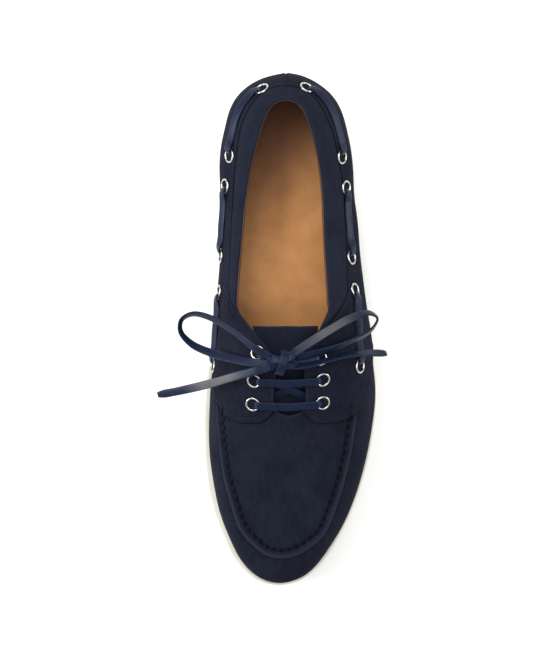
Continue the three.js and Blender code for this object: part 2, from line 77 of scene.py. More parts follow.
# The upper's outline in plan: along, medial, lateral.
OUTLINE = np.array([
    (10.5, -28.5, 20.8), (35.5, -39.1, 31.8), (74, -40.3, 35.7), (113, -40.9, 39.7),
    (147, -43.9, 44.9), (180, -46.9, 48.2), (207, -47.3, 45.6), (233.5, -45.1, 39.1),
    (258, -38.3, 28.6), (277, -29.1, 16.3), (286.3, -18.4, 5.2),
])
HEEL_TIP = (-3.8, 0.0)
TOE_TIP = (-7.0, 289.3)

# The last: along, spine, feather, crest, round medial, round lateral.
SECTIONS = np.array([
    (0, -3.7, 22.6, 73, 2.0, 2.0), (14, -3.7, 22.4, 70, 2.0, 2.0),
    (35.5, -3.7, 21.6, 64.5, 2.0, 1.95), (74, -2.6, 19.4, 59.5, 2.0, 1.65),
    (95, -2.3, 17.7, 60.8, 2.0, 1.62), (114, -2.1, 16, 64.8, 2.0, 1.68),
    (133, -2.3, 14.3, 70.5, 2.0, 1.8), (147, -2.6, 13.3, 74, 2.1, 1.92),
    (160, -2.8, 12.6, 74.5, 2.2, 2.05), (180, -2.8, 12, 67, 2.35, 2.2),
    (206, -3.6, 12.2, 56.5, 2.55, 2.4), (236, -5.2, 14, 49.5, 2.7, 2.6),
    (261, -6, 16.8, 46, 2.7, 2.7), (276, -6.2, 19, 44, 2.7, 2.7),
    (291, -6.4, 21.5, 42, 2.7, 2.7),
])

# The rubber sole: along, underside, how far it stands out on the medial and lateral sides.
SOLE_ROWS = np.array([
    (0, 2.0, 0.2, 0.2), (9, 0, 0.2, 0.2), (80, 0, 0.2, 0.2), (94, 3.0, -0.4, 0),
    (115, 3.4, -0.6, 0), (134, 2.2, 0, 0.2), (154, 0, 0.8, 0.5), (186, 0, 1.9, 0.9),
    (210, 0, 2.2, 1.0), (236, 1.1, 2.5, 1.2), (260, 3.8, 2.6, 1.4), (280, 7.0, 2.0, 1.4),
    (291, 9.2, 1.2, 1.2),
])

# The mouth in plan: collar, V of the facings and the throat's slot.
MOUTH = np.array([
    (18.7, -11.2, 1.9), (23.5, -15.2, 5.8), (44.5, -22.1, 13.0), (69, -27.0, 16.7), (96, -29.8, 17.9),
    (129, -32.4, 19.5), (133.8, -31.7, 19.3), (162, -11.2, 5.4), (166.4, -10.5, 5.1),
    (190.6, -10.4, 5.2),
])
MOUTH_BACK = (-4.8, 16.6)
SLOT_END = (-2.6, 193.5)

# The seam under the collar's band, which runs on as the raised seam round the plug.
BAND_SEAM = np.array([
    (14, -19, 9.5), (30, -28.5, 19.5), (48, -31.6, 24.8), (67, -33.2, 28.3),
    (90, -34.4, 29.3), (111, -35.2, 30.1), (124, -35.6, 30.0), (133, -36.8, 31.2),
    (150, -38.9, 33.4), (165, -41.4, 35.3),
])
BAND_BACK = (-4.8, 9.5)
# Where the band's seam leaves it on each side and slants to the mouth's corner.
CORNER_MEDIAL = ((-31.6, 135.6), (-34.2, 129.5), (-35.6, 123.0))
CORNER_LATERAL = ((18.6, 142.4), (24.5, 135.6), (28.6, 129.0), (30.4, 123.0))
RIDGE = (
    (-42.9, 178.2), (-41.7, 199.2), (-40.5, 213.5), (-38.2, 227.9), (-34, 242.8),
    (-28.9, 257.2), (-23.2, 264.4), (-14.2, 271.5), (-5.9, 273.1), (0.1, 272.1),
    (7.3, 268.6), (16.3, 260.8), (21.7, 250), (27, 233.9), (31.2, 217.1),
    (33.6, 199.2), (36.6, 178.2),
)

# The facings' front edge: distance across and down from the crest, and place along.
FACING_FRONT = np.array([
    (0, 188), (8.5, 188.6), (9.6, 191.2), (12.5, 194.6), (18, 197.3), (29, 197.2),
    (42, 194.6), (52, 190.6), (62, 184), (79, 170), (96, 155),
])


class Side(Enum):
    """The two sides of the shoe, with their sign across."""

    MEDIAL = -1
    LATERAL = 1


class Slot(Enum):
    """Material slots, one of which is handed to make_object with every piece."""

    SUEDE = "suede"
    TAN = "tan_leather"
    RUBBER = "rubber"
    LACE = "lace_leather"
    NICKEL = "nickel"


@dataclass(frozen=True)
class EyeletPlace:
    """Where a pair of eyelets stands in plan."""

    name: str
    medial: tuple[float, float]
    lateral: tuple[float, float]

    def at(self, side: Side) -> tuple[float, float]:
        """The place (across, along) of the eyelet on one side."""
        return self.medial if side is Side.MEDIAL else self.lateral


EYELETS = (
    EyeletPlace("eyelet_heel", (-17.6, 10.6), (7.0, 10.3)),
    EyeletPlace("eyelet_side_2", (-35.4, 47.4), (27.1, 48.0)),
    EyeletPlace("eyelet_side_3", (-37.4, 64.0), (29.6, 65.0)),
    EyeletPlace("eyelet_side_4", (-39.8, 103.3), (32.6, 104.6)),
    EyeletPlace("eyelet_side_5", (-40.6, 123.8), (34.3, 123.1)),
    EyeletPlace("eyelet_side_6", (-44.3, 165.7), (36.6, 165.9)),
    EyeletPlace("eyelet_front_1", (-20.3, 158.5), (13.8, 161.5)),
    EyeletPlace("eyelet_front_2", (-22.2, 173.7), (15.6, 173.1)),
    EyeletPlace("eyelet_front_3", (-23.0, 187.0), (15.9, 186.2)),
)


# ---------------------------------------------------------------- curves

def column(at: Array, value: Array) -> Callable[[Array], Array]:
    """A smooth curve through a table's rows that never passes their highest or lowest value.

    Slopes are the harmonic mean of the neighbouring secants, or 0 where those differ in
    sign. Between rows the curve is the cubic Hermite of values and slopes.

    Args:
        at: the rows' places, rising.
        value: the rows' values.

    Returns:
        A function of an array of places.
    """
    xs, ys = np.asarray(at, float), np.asarray(value, float)
    secant = np.diff(ys) / np.diff(xs)
    product = secant[1:] * secant[:-1]
    total = np.where(product > 0, secant[1:] + secant[:-1], 1.0)
    inner = np.where(product > 0, 2 * product / total, 0.0)
    slope = np.concatenate((secant[:1], inner, secant[-1:]))

    def curve(place: Array) -> Array:
        """The curve's value at each place, held level beyond the ends."""
        x = np.clip(place, xs[0], xs[-1])
        k = np.clip(np.searchsorted(xs, x, side="left") - 1, 0, len(xs) - 2)
        h = xs[k + 1] - xs[k]
        t = (x - xs[k]) / h
        ends = ys[k] * (1 + 2 * t) * (1 - t) ** 2 + ys[k + 1] * t * t * (3 - 2 * t)
        return ends + slope[k] * h * t * (1 - t) ** 2 - slope[k + 1] * h * t * t * (1 - t)

    return curve


def curves(rows: Array, *names: str) -> dict[str, Callable[[Array], Array]]:
    """A table's later columns as named smooth curves over its first column."""
    return {name: column(rows[:, 0], rows[:, k]) for k, name in enumerate(names, 1)}


def settle(thing: object, facts: dict[str, object]) -> None:
    """Gives a frozen object the facts that it works out once from its fields."""
    for name, fact in facts.items():
        object.__setattr__(thing, name, fact)


def through(points: Sequence[Sequence[float]], steps: int, closed: bool = False) -> Array:
    """A centripetal Catmull-Rom curve through points, sampled evenly within each span.

    Args:
        points: the points, each of two or three numbers.
        steps: samples in each span.
        closed: whether the curve comes back to its first point.

    Returns:
        The samples, with the last point (or the first again) at the end.
    """
    p = np.asarray(points, float)
    if closed:
        padded = np.vstack((p[-1:], p, p[:2]))
    else:
        padded = np.vstack((2 * p[:1] - p[1:2], p, 2 * p[-1:] - p[-2:-1]))
    p0, p1, p2, p3 = (padded[k:len(padded) - 3 + k, None, :] for k in range(4))
    gaps = [np.linalg.norm(b - a, axis=2, keepdims=True) ** 0.5
            for a, b in ((p0, p1), (p1, p2), (p2, p3))]
    d0, d1, d2 = gaps
    m1 = ((p1 - p0) / d0 - (p2 - p0) / (d0 + d1) + (p2 - p1) / d1) * d1
    m2 = ((p2 - p1) / d1 - (p3 - p1) / (d1 + d2) + (p3 - p2) / d2) * d1
    t = (np.arange(steps) / steps)[None, :, None]
    spans = (p1 + m1 * t + (3 * (p2 - p1) - 2 * m1 - m2) * t ** 2
             + (2 * (p1 - p2) + m1 + m2) * t ** 3)
    last = p[:1] if closed else p[-1:]
    return np.vstack((spans.reshape(-1, p.shape[1]), last))


def runs(points: Array) -> Array:
    """The length along a curve from its first point to each of its points."""
    return np.concatenate(([0.0], np.cumsum(np.linalg.norm(np.diff(points, axis=0), axis=1))))


def sampled(points: Array, run: Array, at: Array) -> Array:
    """A curve's points at given lengths along it, where run is the length to each known point."""
    return np.stack([np.interp(at, run, points[:, k]) for k in range(points.shape[1])], 1)


def evenly(points: Array, gap: float) -> Array:
    """A curve's points again, about one gap apart all the way."""
    run = runs(points)
    count = max(2, int(round(run[-1] / gap)) + 1)
    return sampled(points, run, np.linspace(0, run[-1], count))


def evened(values: Array, reach: int) -> Array:
    """The running mean of a row of numbers, over reach neighbours on each side."""
    window = 2 * reach + 1
    return np.convolve(np.pad(values, reach, mode="edge"), np.ones(window) / window, "valid")


def loop(rows: Array, first: tuple[float, float], last: tuple[float, float]) -> Array:
    """A closed plan loop: first end, down the lateral column, last end, up the medial one."""
    lateral, medial = rows[:, [2, 0]], rows[::-1, [1, 0]]
    return np.vstack(([first], lateral, [last], medial))


def smooth(low: float, high: float, value: Array) -> Array:
    """0 below low, 1 above high, and the smooth cubic 3t^2 - 2t^3 between."""
    t = np.clip((value - low) / (high - low), 0, 1)
    return t * t * (3 - 2 * t)


def bell(value: Array, width: float) -> Array:
    """A soft hump exp(-(value / width)^2)."""
    return np.exp(-(value / width) ** 2)


def nearest(points: Array, curve: Array) -> tuple[Array, Array]:
    """How far each point is from a curve given by close points.

    Args:
        points: (n, 3) points.
        curve: (k, 3) points along the curve.

    Returns:
        The distances, and the run along the curve to the nearest place.
    """
    run = runs(curve)
    far = np.empty(len(points))
    where = np.empty(len(points))
    square = (curve ** 2).sum(1)
    for start in range(0, len(points), 8192):
        part = points[start:start + 8192]
        gap = (part ** 2).sum(1)[:, None] + square[None] - 2 * part @ curve.T
        best = gap.argmin(1)
        far[start:start + 8192] = np.sqrt(np.maximum(gap[np.arange(len(part)), best], 0))
        where[start:start + 8192] = run[best]
    return far, where


def unit(vectors: Array) -> Array:
    """Vectors of length 1 along the last axis."""
    return vectors / np.maximum(np.linalg.norm(vectors, axis=-1, keepdims=True), 1e-9)


# ---------------------------------------------------------------- the last

@dataclass(frozen=True)
class Ribs:
    """Sections that fan out from the spine: foot and way in plan, and half width."""

    foot: Array
    way: Array
    half: Array
    lateral: Array

    def plan(self, out: Array) -> tuple[Array, Array]:
        """Across and along of the places a distance out on each rib."""
        return self.foot[..., 0] + self.way[..., 0] * out, self.foot[..., 1] + self.way[..., 1] * out


@dataclass(frozen=True)
class Places:
    """Places on the last: their level, point and normal, and the raised seam's level there."""

    level: Array
    points: Array
    normals: Array
    seam_level: Array


@dataclass(frozen=True)
class Last:
    """The form the upper is drawn over, as ribs with superelliptic sections."""

    heel_centre: float = 35.5
    toe_centre: float = 236.0
    toe_end: float = 289.3
    widest: float = 8.0
    tuck: float = 0.07
    gap: float = 0.3

    def __post_init__(self) -> None:
        """Works out the outline, the mouth, the seam and the table's curves once."""
        lateral, medial = BAND_SEAM[:, [2, 0]], BAND_SEAM[::-1, [1, 0]]
        seam = np.vstack((BAND_BACK, lateral, RIDGE[::-1], medial))
        settle(self, {
            "outline": through(loop(OUTLINE, HEEL_TIP, TOE_TIP), 50, closed=True),
            "mouth": through(loop(MOUTH, MOUTH_BACK, SLOT_END), 14, closed=True),
            "seam": through(seam, 12, closed=True),
            **curves(SECTIONS, "spine", "feather", "crest", "round_medial", "round_lateral"),
        })

    def spread(self, heel: int, middle: int, toe: int) -> Array:
        """Stations on one side: so many even steps round the heel, along the middle, round the toe."""
        return np.concatenate((
            np.linspace(0, self.heel_centre, heel, endpoint=False),
            np.linspace(self.heel_centre, self.toe_centre, middle, endpoint=False),
            np.linspace(self.toe_centre, self.toe_end, toe)))

    def circuit(self, stations: Array) -> tuple[Array, Array]:
        """Side and station of the ribs all round, from the heel by the lateral side."""
        side = np.repeat([1.0, -1.0], len(stations) - 1)
        return side, np.concatenate((stations[:-1], stations[:0:-1]))

    def reach(self, foot: Array, way: Array, curve: Array) -> Array:
        """How far each ray runs before its farthest crossing of a closed plan curve.

        Args:
            foot: (..., 2) starts.
            way: (..., 2) directions.
            curve: (k, 2) points of the closed curve.

        Returns:
            A distance for each ray, 0 where there is no crossing.
        """
        shape = foot.shape[:-1]
        foot, way = foot.reshape(-1, 2), way.reshape(-1, 2)
        start, edge = curve[:-1], np.diff(curve, axis=0)
        det = way[:, 1:] * edge[:, 0] - way[:, :1] * edge[:, 1]
        safe = np.where(np.abs(det) > 1e-9, det, np.inf)
        gx = start[None, :, 0] - foot[:, :1]
        gy = start[None, :, 1] - foot[:, 1:]
        run = (gy * edge[:, 0] - gx * edge[:, 1]) / safe
        share = (way[:, :1] * gy - way[:, 1:] * gx) / safe
        hit = (np.abs(det) > 1e-9) & (share >= -1e-9) & (share <= 1 + 1e-9) & (run > 0)
        return np.where(hit, run, 0).max(1).reshape(shape)

    def ribs(self, side: Array, station: Array) -> Ribs:
        """The ribs at given sides (-1 or 1) and stations: square to the spine, fanned at the ends."""
        side, station = np.broadcast_arrays(np.asarray(side, float), np.asarray(station, float))
        heel = np.minimum(station / self.heel_centre - 1, 0)
        toe = np.maximum((station - self.toe_centre) / (self.toe_end - self.toe_centre), 0)
        turn = (heel + toe) * np.pi / 2
        centre = np.clip(station, self.heel_centre, self.toe_centre)
        foot = np.stack((self.spine(centre), centre), -1)
        way = np.stack((side * np.cos(turn), np.sin(turn)), -1)
        return Ribs(foot, way, self.reach(foot, way, self.outline), (1 + way[..., 0]) / 2)

    def roundness(self, ribs: Ribs, along: Array) -> Array:
        """The section's exponent, blended from the medial to the lateral column."""
        return self.round_medial(along) * (1 - ribs.lateral) + self.round_lateral(along) * ribs.lateral

    def point(self, ribs: Ribs, level: Array) -> Array:
        """Points of the last.

        Below 0 the level runs from the feather edge (-1) to the widest line. Above 0 it is the
        angle of a superellipse: out = half cos^p, height = sin^p, with p = 2 / roundness.
        """
        angle = np.clip(level, 0, np.pi / 2)
        cos = np.where(angle > np.pi / 2 - 1e-6, 0.0, np.cos(angle))
        _, near = ribs.plan(ribs.half * cos)
        power = 2 / self.roundness(ribs, near)
        low = np.minimum(level, 0)
        out = ribs.half * cos ** power * (1 - self.tuck * low ** 2)
        across, along = ribs.plan(out)
        base = self.feather(along) + self.gap
        top = self.crest(along) - base - self.widest
        height = base + self.widest * (1 + low) + top * np.sin(angle) ** power
        return np.stack((across, along, height), -1)

    def level_at(self, ribs: Ribs, out: Array) -> Array:
        """The level at which each rib comes in to a distance from its foot."""
        _, along = ribs.plan(out)
        power = self.roundness(ribs, along) / 2
        return np.arccos(np.clip(out / ribs.half, 0, 1) ** power)

    def seam_level(self, ribs: Ribs) -> Array:
        """The level of the raised seam, or of the band's seam, on each rib."""
        return self.level_at(ribs, self.reach(ribs.foot, ribs.way, self.seam))

    def locate(self, across: Array, along: Array) -> tuple[Array, Array, Array]:
        """Side, station and level of places given in plan."""
        across, along = np.broadcast_arrays(np.asarray(across, float), np.asarray(along, float))
        centre = np.clip(along, self.heel_centre, self.toe_centre)
        ex, ey = across - self.spine(centre), along - centre
        side = np.where(ex < 0, -1.0, 1.0)
        turn = np.arctan2(np.abs(ey), np.abs(ex)) / (np.pi / 2)
        toe = self.toe_centre + (self.toe_end - self.toe_centre) * turn
        station = np.where(along < self.heel_centre, self.heel_centre * (1 - turn), along)
        station = np.where(along > self.toe_centre, toe, station)
        return side, station, self.level_at(self.ribs(side, station), np.hypot(ex, ey))

    def places(self, side: Array, station: Array, level: Array) -> Places:
        """Points, outward normals (across neighbouring ribs and levels) and the seam's level."""
        on, up = 0.6, 0.02
        inside = np.clip(station, on, self.toe_end - on)
        steady = np.clip(level, up - 1, np.pi / 2 - 2 * up)
        ahead, behind = self.ribs(side, inside + on), self.ribs(side, inside - on)
        here, ribs = self.ribs(side, inside), self.ribs(side, station)
        forward = self.point(ahead, steady) - self.point(behind, steady)
        upward = self.point(here, steady + up) - self.point(here, steady - up)
        normals = unit(np.cross(forward, upward)) * np.asarray(side, float)[..., None]
        return Places(level, self.point(ribs, level), normals, self.seam_level(ribs))

    def plan_places(self, across: Array, along: Array) -> Places:
        """The places under given plan points, with the crest's two sides evened out."""
        across, along = np.broadcast_arrays(np.asarray(across, float), np.asarray(along, float))
        beside = 0.6
        spine = self.spine(along)
        near = (np.abs(across - spine) < beside) & (along < self.toe_centre)
        found = self.places(*self.locate(across, along))
        aside = self.places(*self.locate(np.where(near, spine + beside, across), along))
        return replace(found, normals=np.where(near[..., None], aside.normals, found.normals))


# ---------------------------------------------------------------- meshes

@dataclass
class Shell:
    """A closed surface in plan millimetres, with the marks that vary over its points."""

    points: Array
    faces: Array
    marks: dict[str, Array] = field(default_factory=dict)

    def welded(self) -> "Shell":
        """The shell with equal points joined, empty faces dropped and faces turned outwards."""
        _, first, back = np.unique(
            np.round(self.points, 3), axis=0, return_index=True, return_inverse=True)
        faces = back.reshape(-1)[self.faces]
        a, b, c = faces.T
        faces = faces[(a != b) & (b != c) & (c != a)]
        points = self.points[first]
        p, q, r = (points[faces[:, k]] for k in range(3))
        if (p * np.cross(q, r)).sum() > 0:
            faces = faces[:, ::-1]
        return Shell(points, faces, {name: mark[first] for name, mark in self.marks.items()})


def joined(shells: Sequence[Shell]) -> Shell:
    """Several shells as one, each one's faces kept apart."""
    starts = np.cumsum([0] + [len(s.points) for s in shells[:-1]])
    names = shells[0].marks.keys()
    return Shell(
        np.vstack([s.points for s in shells]),
        np.vstack([s.faces + start for s, start in zip(shells, starts)]),
        {name: np.concatenate([s.marks[name] for s in shells]) for name in names})


def grid_faces(rows: int, columns: int, wrap_rows: bool = False, wrap_columns: bool = False,
               keep: Array | None = None) -> Array:
    """Two triangles for each cell of a grid of points held row by row.

    Args:
        rows: the number of rows.
        columns: the number of columns.
        wrap_rows: whether the last row meets the first.
        wrap_columns: whether the last column meets the first.
        keep: a mask (row cells, column cells) of the cells that are made.

    Returns:
        (n, 3) indices of points.
    """
    i = np.arange(rows if wrap_rows else rows - 1)[:, None]
    j = np.arange(columns if wrap_columns else columns - 1)[None]
    up, on = (i + 1) % rows, (j + 1) % columns
    corners = [i * columns + j, i * columns + on, up * columns + on, up * columns + j]
    quads = np.stack(np.broadcast_arrays(*corners), -1)
    quads = quads[keep] if keep is not None else quads.reshape(-1, 4)
    return np.vstack((quads[:, [0, 1, 2]], quads[:, [0, 2, 3]]))


def stacked(rings: Array, marks: dict[str, Array]) -> Shell:
    """A skin over rings of points (n, m, 3), the first and last of which lie shut."""
    flat = {name: mark.reshape(-1) for name, mark in marks.items()}
    return Shell(rings.reshape(-1, 3), grid_faces(*rings.shape[:2], wrap_columns=True), flat).welded()


def tube(rings: Array, marks: dict[str, Array]) -> Shell:
    """A closed skin over rings of points (n, m, 3), each end drawn in to its middle."""
    first, last = (np.repeat(ring.mean(0)[None, None], rings.shape[1], 1) for ring in rings[[0, -1]])
    ended = {name: np.concatenate((mark[:1], mark, mark[-1:])) for name, mark in marks.items()}
    return stacked(np.concatenate((first, rings, last)), ended)


def copies(points: Array, faces: Array, middles: Array, normals: Array, first: Array,
           marks: dict[str, Array]) -> Shell:
    """One shape set on many seats.

    Args:
        points: (n, 3) points of the shape about its origin.
        faces: its faces.
        middles: (m, 3) where the shape's origin goes.
        normals: (m, 3) where its Z looks.
        first: (m, 3) where its X looks, square to the normals.
        marks: the marks over the shape's points.

    Returns:
        All the copies as one shell.
    """
    axes = np.stack((first, np.cross(normals, first), normals), 1)
    cloud = np.einsum("pk,ekx->epx", points, axes) + middles[:, None]
    every = faces[None] + (np.arange(len(middles)) * len(points))[:, None, None]
    tiled = {name: np.tile(mark, len(middles)) for name, mark in marks.items()}
    return Shell(cloud.reshape(-1, 3), every.reshape(-1, 3), tiled).welded()


def strap(points: Array, normals: Array, width: Array | float, thick: float) -> Shell:
    """A flat lace carried along a path, with rounded edges.

    The section is the superellipse |a|^4 + |b|^4 = 1, its broad face square to the normals.
    Its marks are the run along the lace and the place across it from -1 to 1.

    Args:
        points: (n, 3) middle of the lace.
        normals: (n, 3) outward directions.
        width: full width, for the whole lace or each point.
        thick: full thickness.

    Returns:
        The closed shell.
    """
    way = unit(np.gradient(points, axis=0))
    side = unit(np.cross(way, normals))
    face = np.cross(side, way)
    angle = np.linspace(0, 2 * np.pi, 20, endpoint=False) + np.pi / 20
    a = np.sign(np.cos(angle)) * np.abs(np.cos(angle)) ** 0.5
    b = np.sign(np.sin(angle)) * np.abs(np.sin(angle)) ** 0.5
    wide = np.broadcast_to(np.asarray(width, float), len(points)) / 2
    taper = np.ones(len(points))
    taper[[0, -1]] = 0.8
    rings = (points[:, None] + side[:, None] * (wide * (0.5 + taper / 2))[:, None, None] * a[:, None]
             + face[:, None] * (taper * thick / 2)[:, None, None] * b[:, None])
    run = np.repeat(runs(points)[:, None], len(angle), 1)
    return tube(rings, {"run": run, "across": np.repeat(a[None], len(points), 0)})


def to_frame(points: Array) -> Array:
    """Plan millimetres as the frame's metres."""
    return np.stack((points[..., 0], LENGTH / 2 - points[..., 1], points[..., 2]), -1) * MM


def linked(name: str, data: bpy.types.ID) -> bpy.types.Object:
    """An object in the scene that shows a mesh, a light or a camera."""
    thing = bpy.data.objects.new(name, data)
    bpy.context.scene.collection.objects.link(thing)
    return thing


def make_object(name: str, shell: Shell, material: bpy.types.Material, slot: Slot,
                *nodes: str) -> bpy.types.Object:
    """A smooth-shaded object from a shell, riding on the body in place of the named nodes."""
    mesh = bpy.data.meshes.new(name)
    mesh.from_pydata(to_frame(shell.points).tolist(), [], shell.faces.tolist())
    mesh.shade_smooth()
    for mark, values in shell.marks.items():
        mesh.attributes.new(mark, "FLOAT", "POINT").data.foreach_set(
            "value", np.ascontiguousarray(values, np.float32))
    mesh.materials.append(material)
    piece = linked(name, mesh)
    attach(piece, BODY)
    if nodes:
        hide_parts(*nodes)
    log.info("%s: %d points, %d faces", name, len(shell.points), len(shell.faces))
    return piece


# ---------------------------------------------------------------- finishes

class Value:
    """A socket that takes part in sums: each operator adds its Math node."""

    def __init__(self, graph: "Graph", socket: bpy.types.NodeSocket) -> None:
        """Wraps one output socket of a graph."""
        self.graph = graph
        self.socket = socket

    def maths(self, operation: str, first: "Value | float", second: "Value | float") -> "Value":
        """A Math node's result on two numbers or values."""
        return self.graph.node("ShaderNodeMath", {"operation": operation}, {0: first, 1: second})

    def __add__(self, other: "Value | float") -> "Value":
        """self + other."""
        return self.maths("ADD", self, other)

    def __radd__(self, other: float) -> "Value":
        """other + self."""
        return self.maths("ADD", other, self)

    def __rsub__(self, other: float) -> "Value":
        """other - self."""
        return self.maths("SUBTRACT", other, self)

    def __mul__(self, other: "Value | float") -> "Value":
        """self * other."""
        return self.maths("MULTIPLY", self, other)

    def __rmul__(self, other: float) -> "Value":
        """other * self."""
        return self.maths("MULTIPLY", other, self)

    def ranged(self, low: float, high: float) -> "Value":
        """The value carried smoothly from the range low..high to 0..1."""
        return self.graph.node(
            "ShaderNodeMapRange", {"interpolation_type": "SMOOTHSTEP"},
            {"Value": self, "From Min": low, "From Max": high, "To Min": 0.0, "To Max": 1.0})


class Graph:
    """A material's nodes, around one principled shader."""

    def __init__(self, name: str) -> None:
        """Starts a material with its shader linked to the output."""
        self.material = bpy.data.materials.new(name)
        self.material.use_nodes = True
        self.tree = self.material.node_tree
        self.shader = self.tree.nodes["Principled BSDF"]

    def node(self, kind: str, settings: dict | None = None, inputs: dict | None = None,
             output: str | int = 0) -> Value:
        """Adds any node.

        Args:
            kind: the node's type.
            settings: its settings, set first.
            inputs: values or links for its sockets, by name or number.
            output: the socket that is handed back.

        Returns:
            The chosen output as a Value.
        """
        made = self.tree.nodes.new(kind)
        for name, setting in (settings or {}).items():
            setattr(made, name, setting)
        for name, given in (inputs or {}).items():
            self.feed(made.inputs[name], given)
        return Value(self, made.outputs[output])

    def feed(self, socket: bpy.types.NodeSocket, given: "Value | float | Sequence[float]") -> None:
        """Links a value to a socket, or sets the socket to a constant."""
        if isinstance(given, Value):
            self.tree.links.new(given.socket, socket)
        elif isinstance(given, (int, float)):
            socket.default_value = given
        else:
            size = len(socket.default_value)
            socket.default_value = (*given, 1.0)[:size] if size == 4 else tuple(given)

    def place(self, stretch: tuple[float, float, float] = (1, 1, 1)) -> Value:
        """Object coordinates in millimetres, stretched by a factor on each axis."""
        where = self.node("ShaderNodeTexCoord", output="Object")
        scale = tuple(1 / MM * s for s in stretch)
        return self.node("ShaderNodeVectorMath", {"operation": "MULTIPLY"}, {0: where, 1: scale})

    def mark(self, name: str) -> Value:
        """A number that the mesh carries at its points."""
        return self.node("ShaderNodeAttribute", {"attribute_name": name}, output="Fac")

    def noise(self, where: Value, size: float, detail: float = 3.0, rough: float = 0.55) -> Value:
        """Noise with features about size millimetres across, from 0 to 1."""
        return self.node("ShaderNodeTexNoise", {}, {
            "Vector": where, "Scale": 1 / size, "Detail": detail, "Roughness": rough})

    def cells(self, where: Value, size: float) -> Value:
        """Distance to the middle of the nearest of a set of cells about size millimetres across."""
        return self.node("ShaderNodeTexVoronoi", {}, {"Vector": where, "Scale": 1 / size})

    def mix(self, share: "Value | float", first: "Value | Colour", second: "Value | Colour") -> Value:
        """A colour between two colours."""
        made = self.tree.nodes.new("ShaderNodeMix")
        made.data_type = "RGBA"
        self.feed(made.inputs[0], share)
        self.feed(made.inputs[6], first)
        self.feed(made.inputs[7], second)
        return Value(self, made.outputs[2])

    def bump(self, height: Value, depth: float) -> Value:
        """A normal tilted by a height, whose full swing is depth millimetres."""
        return self.node("ShaderNodeBump", {}, {
            "Height": height, "Distance": depth * MM, "Strength": 1.0}, output="Normal")

    def finish(self, **sockets: "Value | float | Sequence[float]") -> bpy.types.Material:
        """Sets or links the shader's sockets, named with _ for a space, and hands the material back."""
        for name, given in sockets.items():
            self.feed(self.shader.inputs[name.replace("_", " ")], given)
        return self.material


@dataclass(frozen=True)
class Suede:
    """Brushed suede: a soft nap in drifting patches, paler where it is rubbed and with painted highlight
    on its lit ridges and edges, and painted shade in its seams.
    """

    name: str = "navy_suede"
    colour: Colour = (0.0058, 0.0074, 0.0142)
    brushed: Colour = (0.0110, 0.0130, 0.0225)
    # also laid on as painted highlight along the ridge and the edges
    rubbed: Colour = (0.0270, 0.0300, 0.0480)
    # painted shade in the seams, the stitch holes and under the facings' edge
    deep: Colour = (0.0015, 0.0018, 0.0040)

    def material(self) -> bpy.types.Material:
        """The suede's material; its marks follow the panels' edges and seams: one for rubbing and painted
        highlight, and "deep" for painted shade.
        """
        g = Graph(self.name)
        where = g.place()
        drift = g.noise(where, 16, 3, 0.5)
        strokes = g.noise(g.place((1.0, 0.35, 1.0)), 2.6, 4, 0.6)
        fibre = g.noise(where, 0.42, 4, 0.7)
        nap = drift.ranged(0.32, 0.7) * 0.5 + strokes.ranged(0.3, 0.72) * 0.5
        base = g.mix(nap, self.colour, self.brushed)
        flecked = g.mix(fibre.ranged(0.52, 0.78) * 0.45, base, self.rubbed)
        # Rubbing and painted highlight, from the mesh's mark.
        wear_and_highlight = g.mix(g.mark("wear_and_highlight") * (0.45 + 0.55 * fibre), flecked, self.rubbed)
        # Painted shade where the mark "deep" is set.
        colour = g.mix(g.mark("deep"), wear_and_highlight, self.deep)
        height = fibre * 0.65 + strokes * 0.5
        return g.finish(Base_Color=colour, Roughness=0.86 + 0.12 * fibre,
                        Normal=g.bump(height, 0.32), Specular_IOR_Level=0.03,
                        Sheen_Weight=0.025, Sheen_Roughness=0.45, Sheen_Tint=(0.62, 0.66, 0.85))


@dataclass(frozen=True)
class SmoothLeather:
    """Finished leather: fine pebbled grain with creases and a soft, uneven shine."""

    name: str
    colour: Colour
    shade: Colour
    gloss: float = 0.36
    grain: float = 0.9
    depth: float = 0.12
    # the colour of the painted shade
    shadow_colour: Colour = (0.0035, 0.0035, 0.0060)

    def material(self) -> bpy.types.Material:
        """The leather's material; the mark "deep" shows where it lies in the dark."""
        g = Graph(self.name)
        where = g.place()
        pebble = g.cells(where, self.grain)
        cloud = g.noise(where, 9, 3, 0.5)
        fine = g.noise(where, 0.35, 3, 0.6)
        colour = g.mix(cloud.ranged(0.3, 0.75) * 0.7, self.colour, self.shade)
        grain = g.mix(pebble.ranged(0.35, 0.75) * 0.25, colour, self.shade)
        # Painted shade where the mark "deep" is set, over the grain.
        pores = g.mix(g.mark("deep"), grain, self.shadow_colour)
        rough = self.gloss + 0.16 * cloud + 0.1 * fine
        height = fine * 0.4 + (1 - pebble) * 0.8
        return g.finish(Base_Color=pores, Roughness=rough, Normal=g.bump(height, self.depth),
                        Specular_IOR_Level=0.5)


@dataclass(frozen=True)
class SockLeather:
    """The sock's vegetable-tanned leather: warm tan, with painted shade towards the heel and along the
    medial side.
    """

    name: str = "tan_sock"
    colour: Colour = (0.560, 0.266, 0.096)
    shade: Colour = (0.480, 0.217, 0.074)
    # painted shade: the dark brown laid over the sock towards the back of the heel
    heel: Colour = (0.072, 0.020, 0.006)

    def material(self) -> bpy.types.Material:
        """The sock's material; the mark "heel" lays painted shade over the colour towards the back."""
        g = Graph(self.name)
        where = g.place()
        cloud = g.noise(where, 11, 3, 0.5)
        pores = g.cells(where, 0.8)
        fine = g.noise(where, 0.3, 3, 0.6)
        base = g.mix(cloud.ranged(0.3, 0.75), self.colour, self.shade)
        grain = g.mix(pores.ranged(0.45, 0.85) * 0.3, base, self.shade)
        colour = g.mix(g.mark("heel"), grain, self.heel)
        height = fine * 0.5 + (1 - pores) * 0.5
        return g.finish(Base_Color=colour, Roughness=0.44 + 0.12 * cloud,
                        Normal=g.bump(height, 0.05), Specular_IOR_Level=0.13)


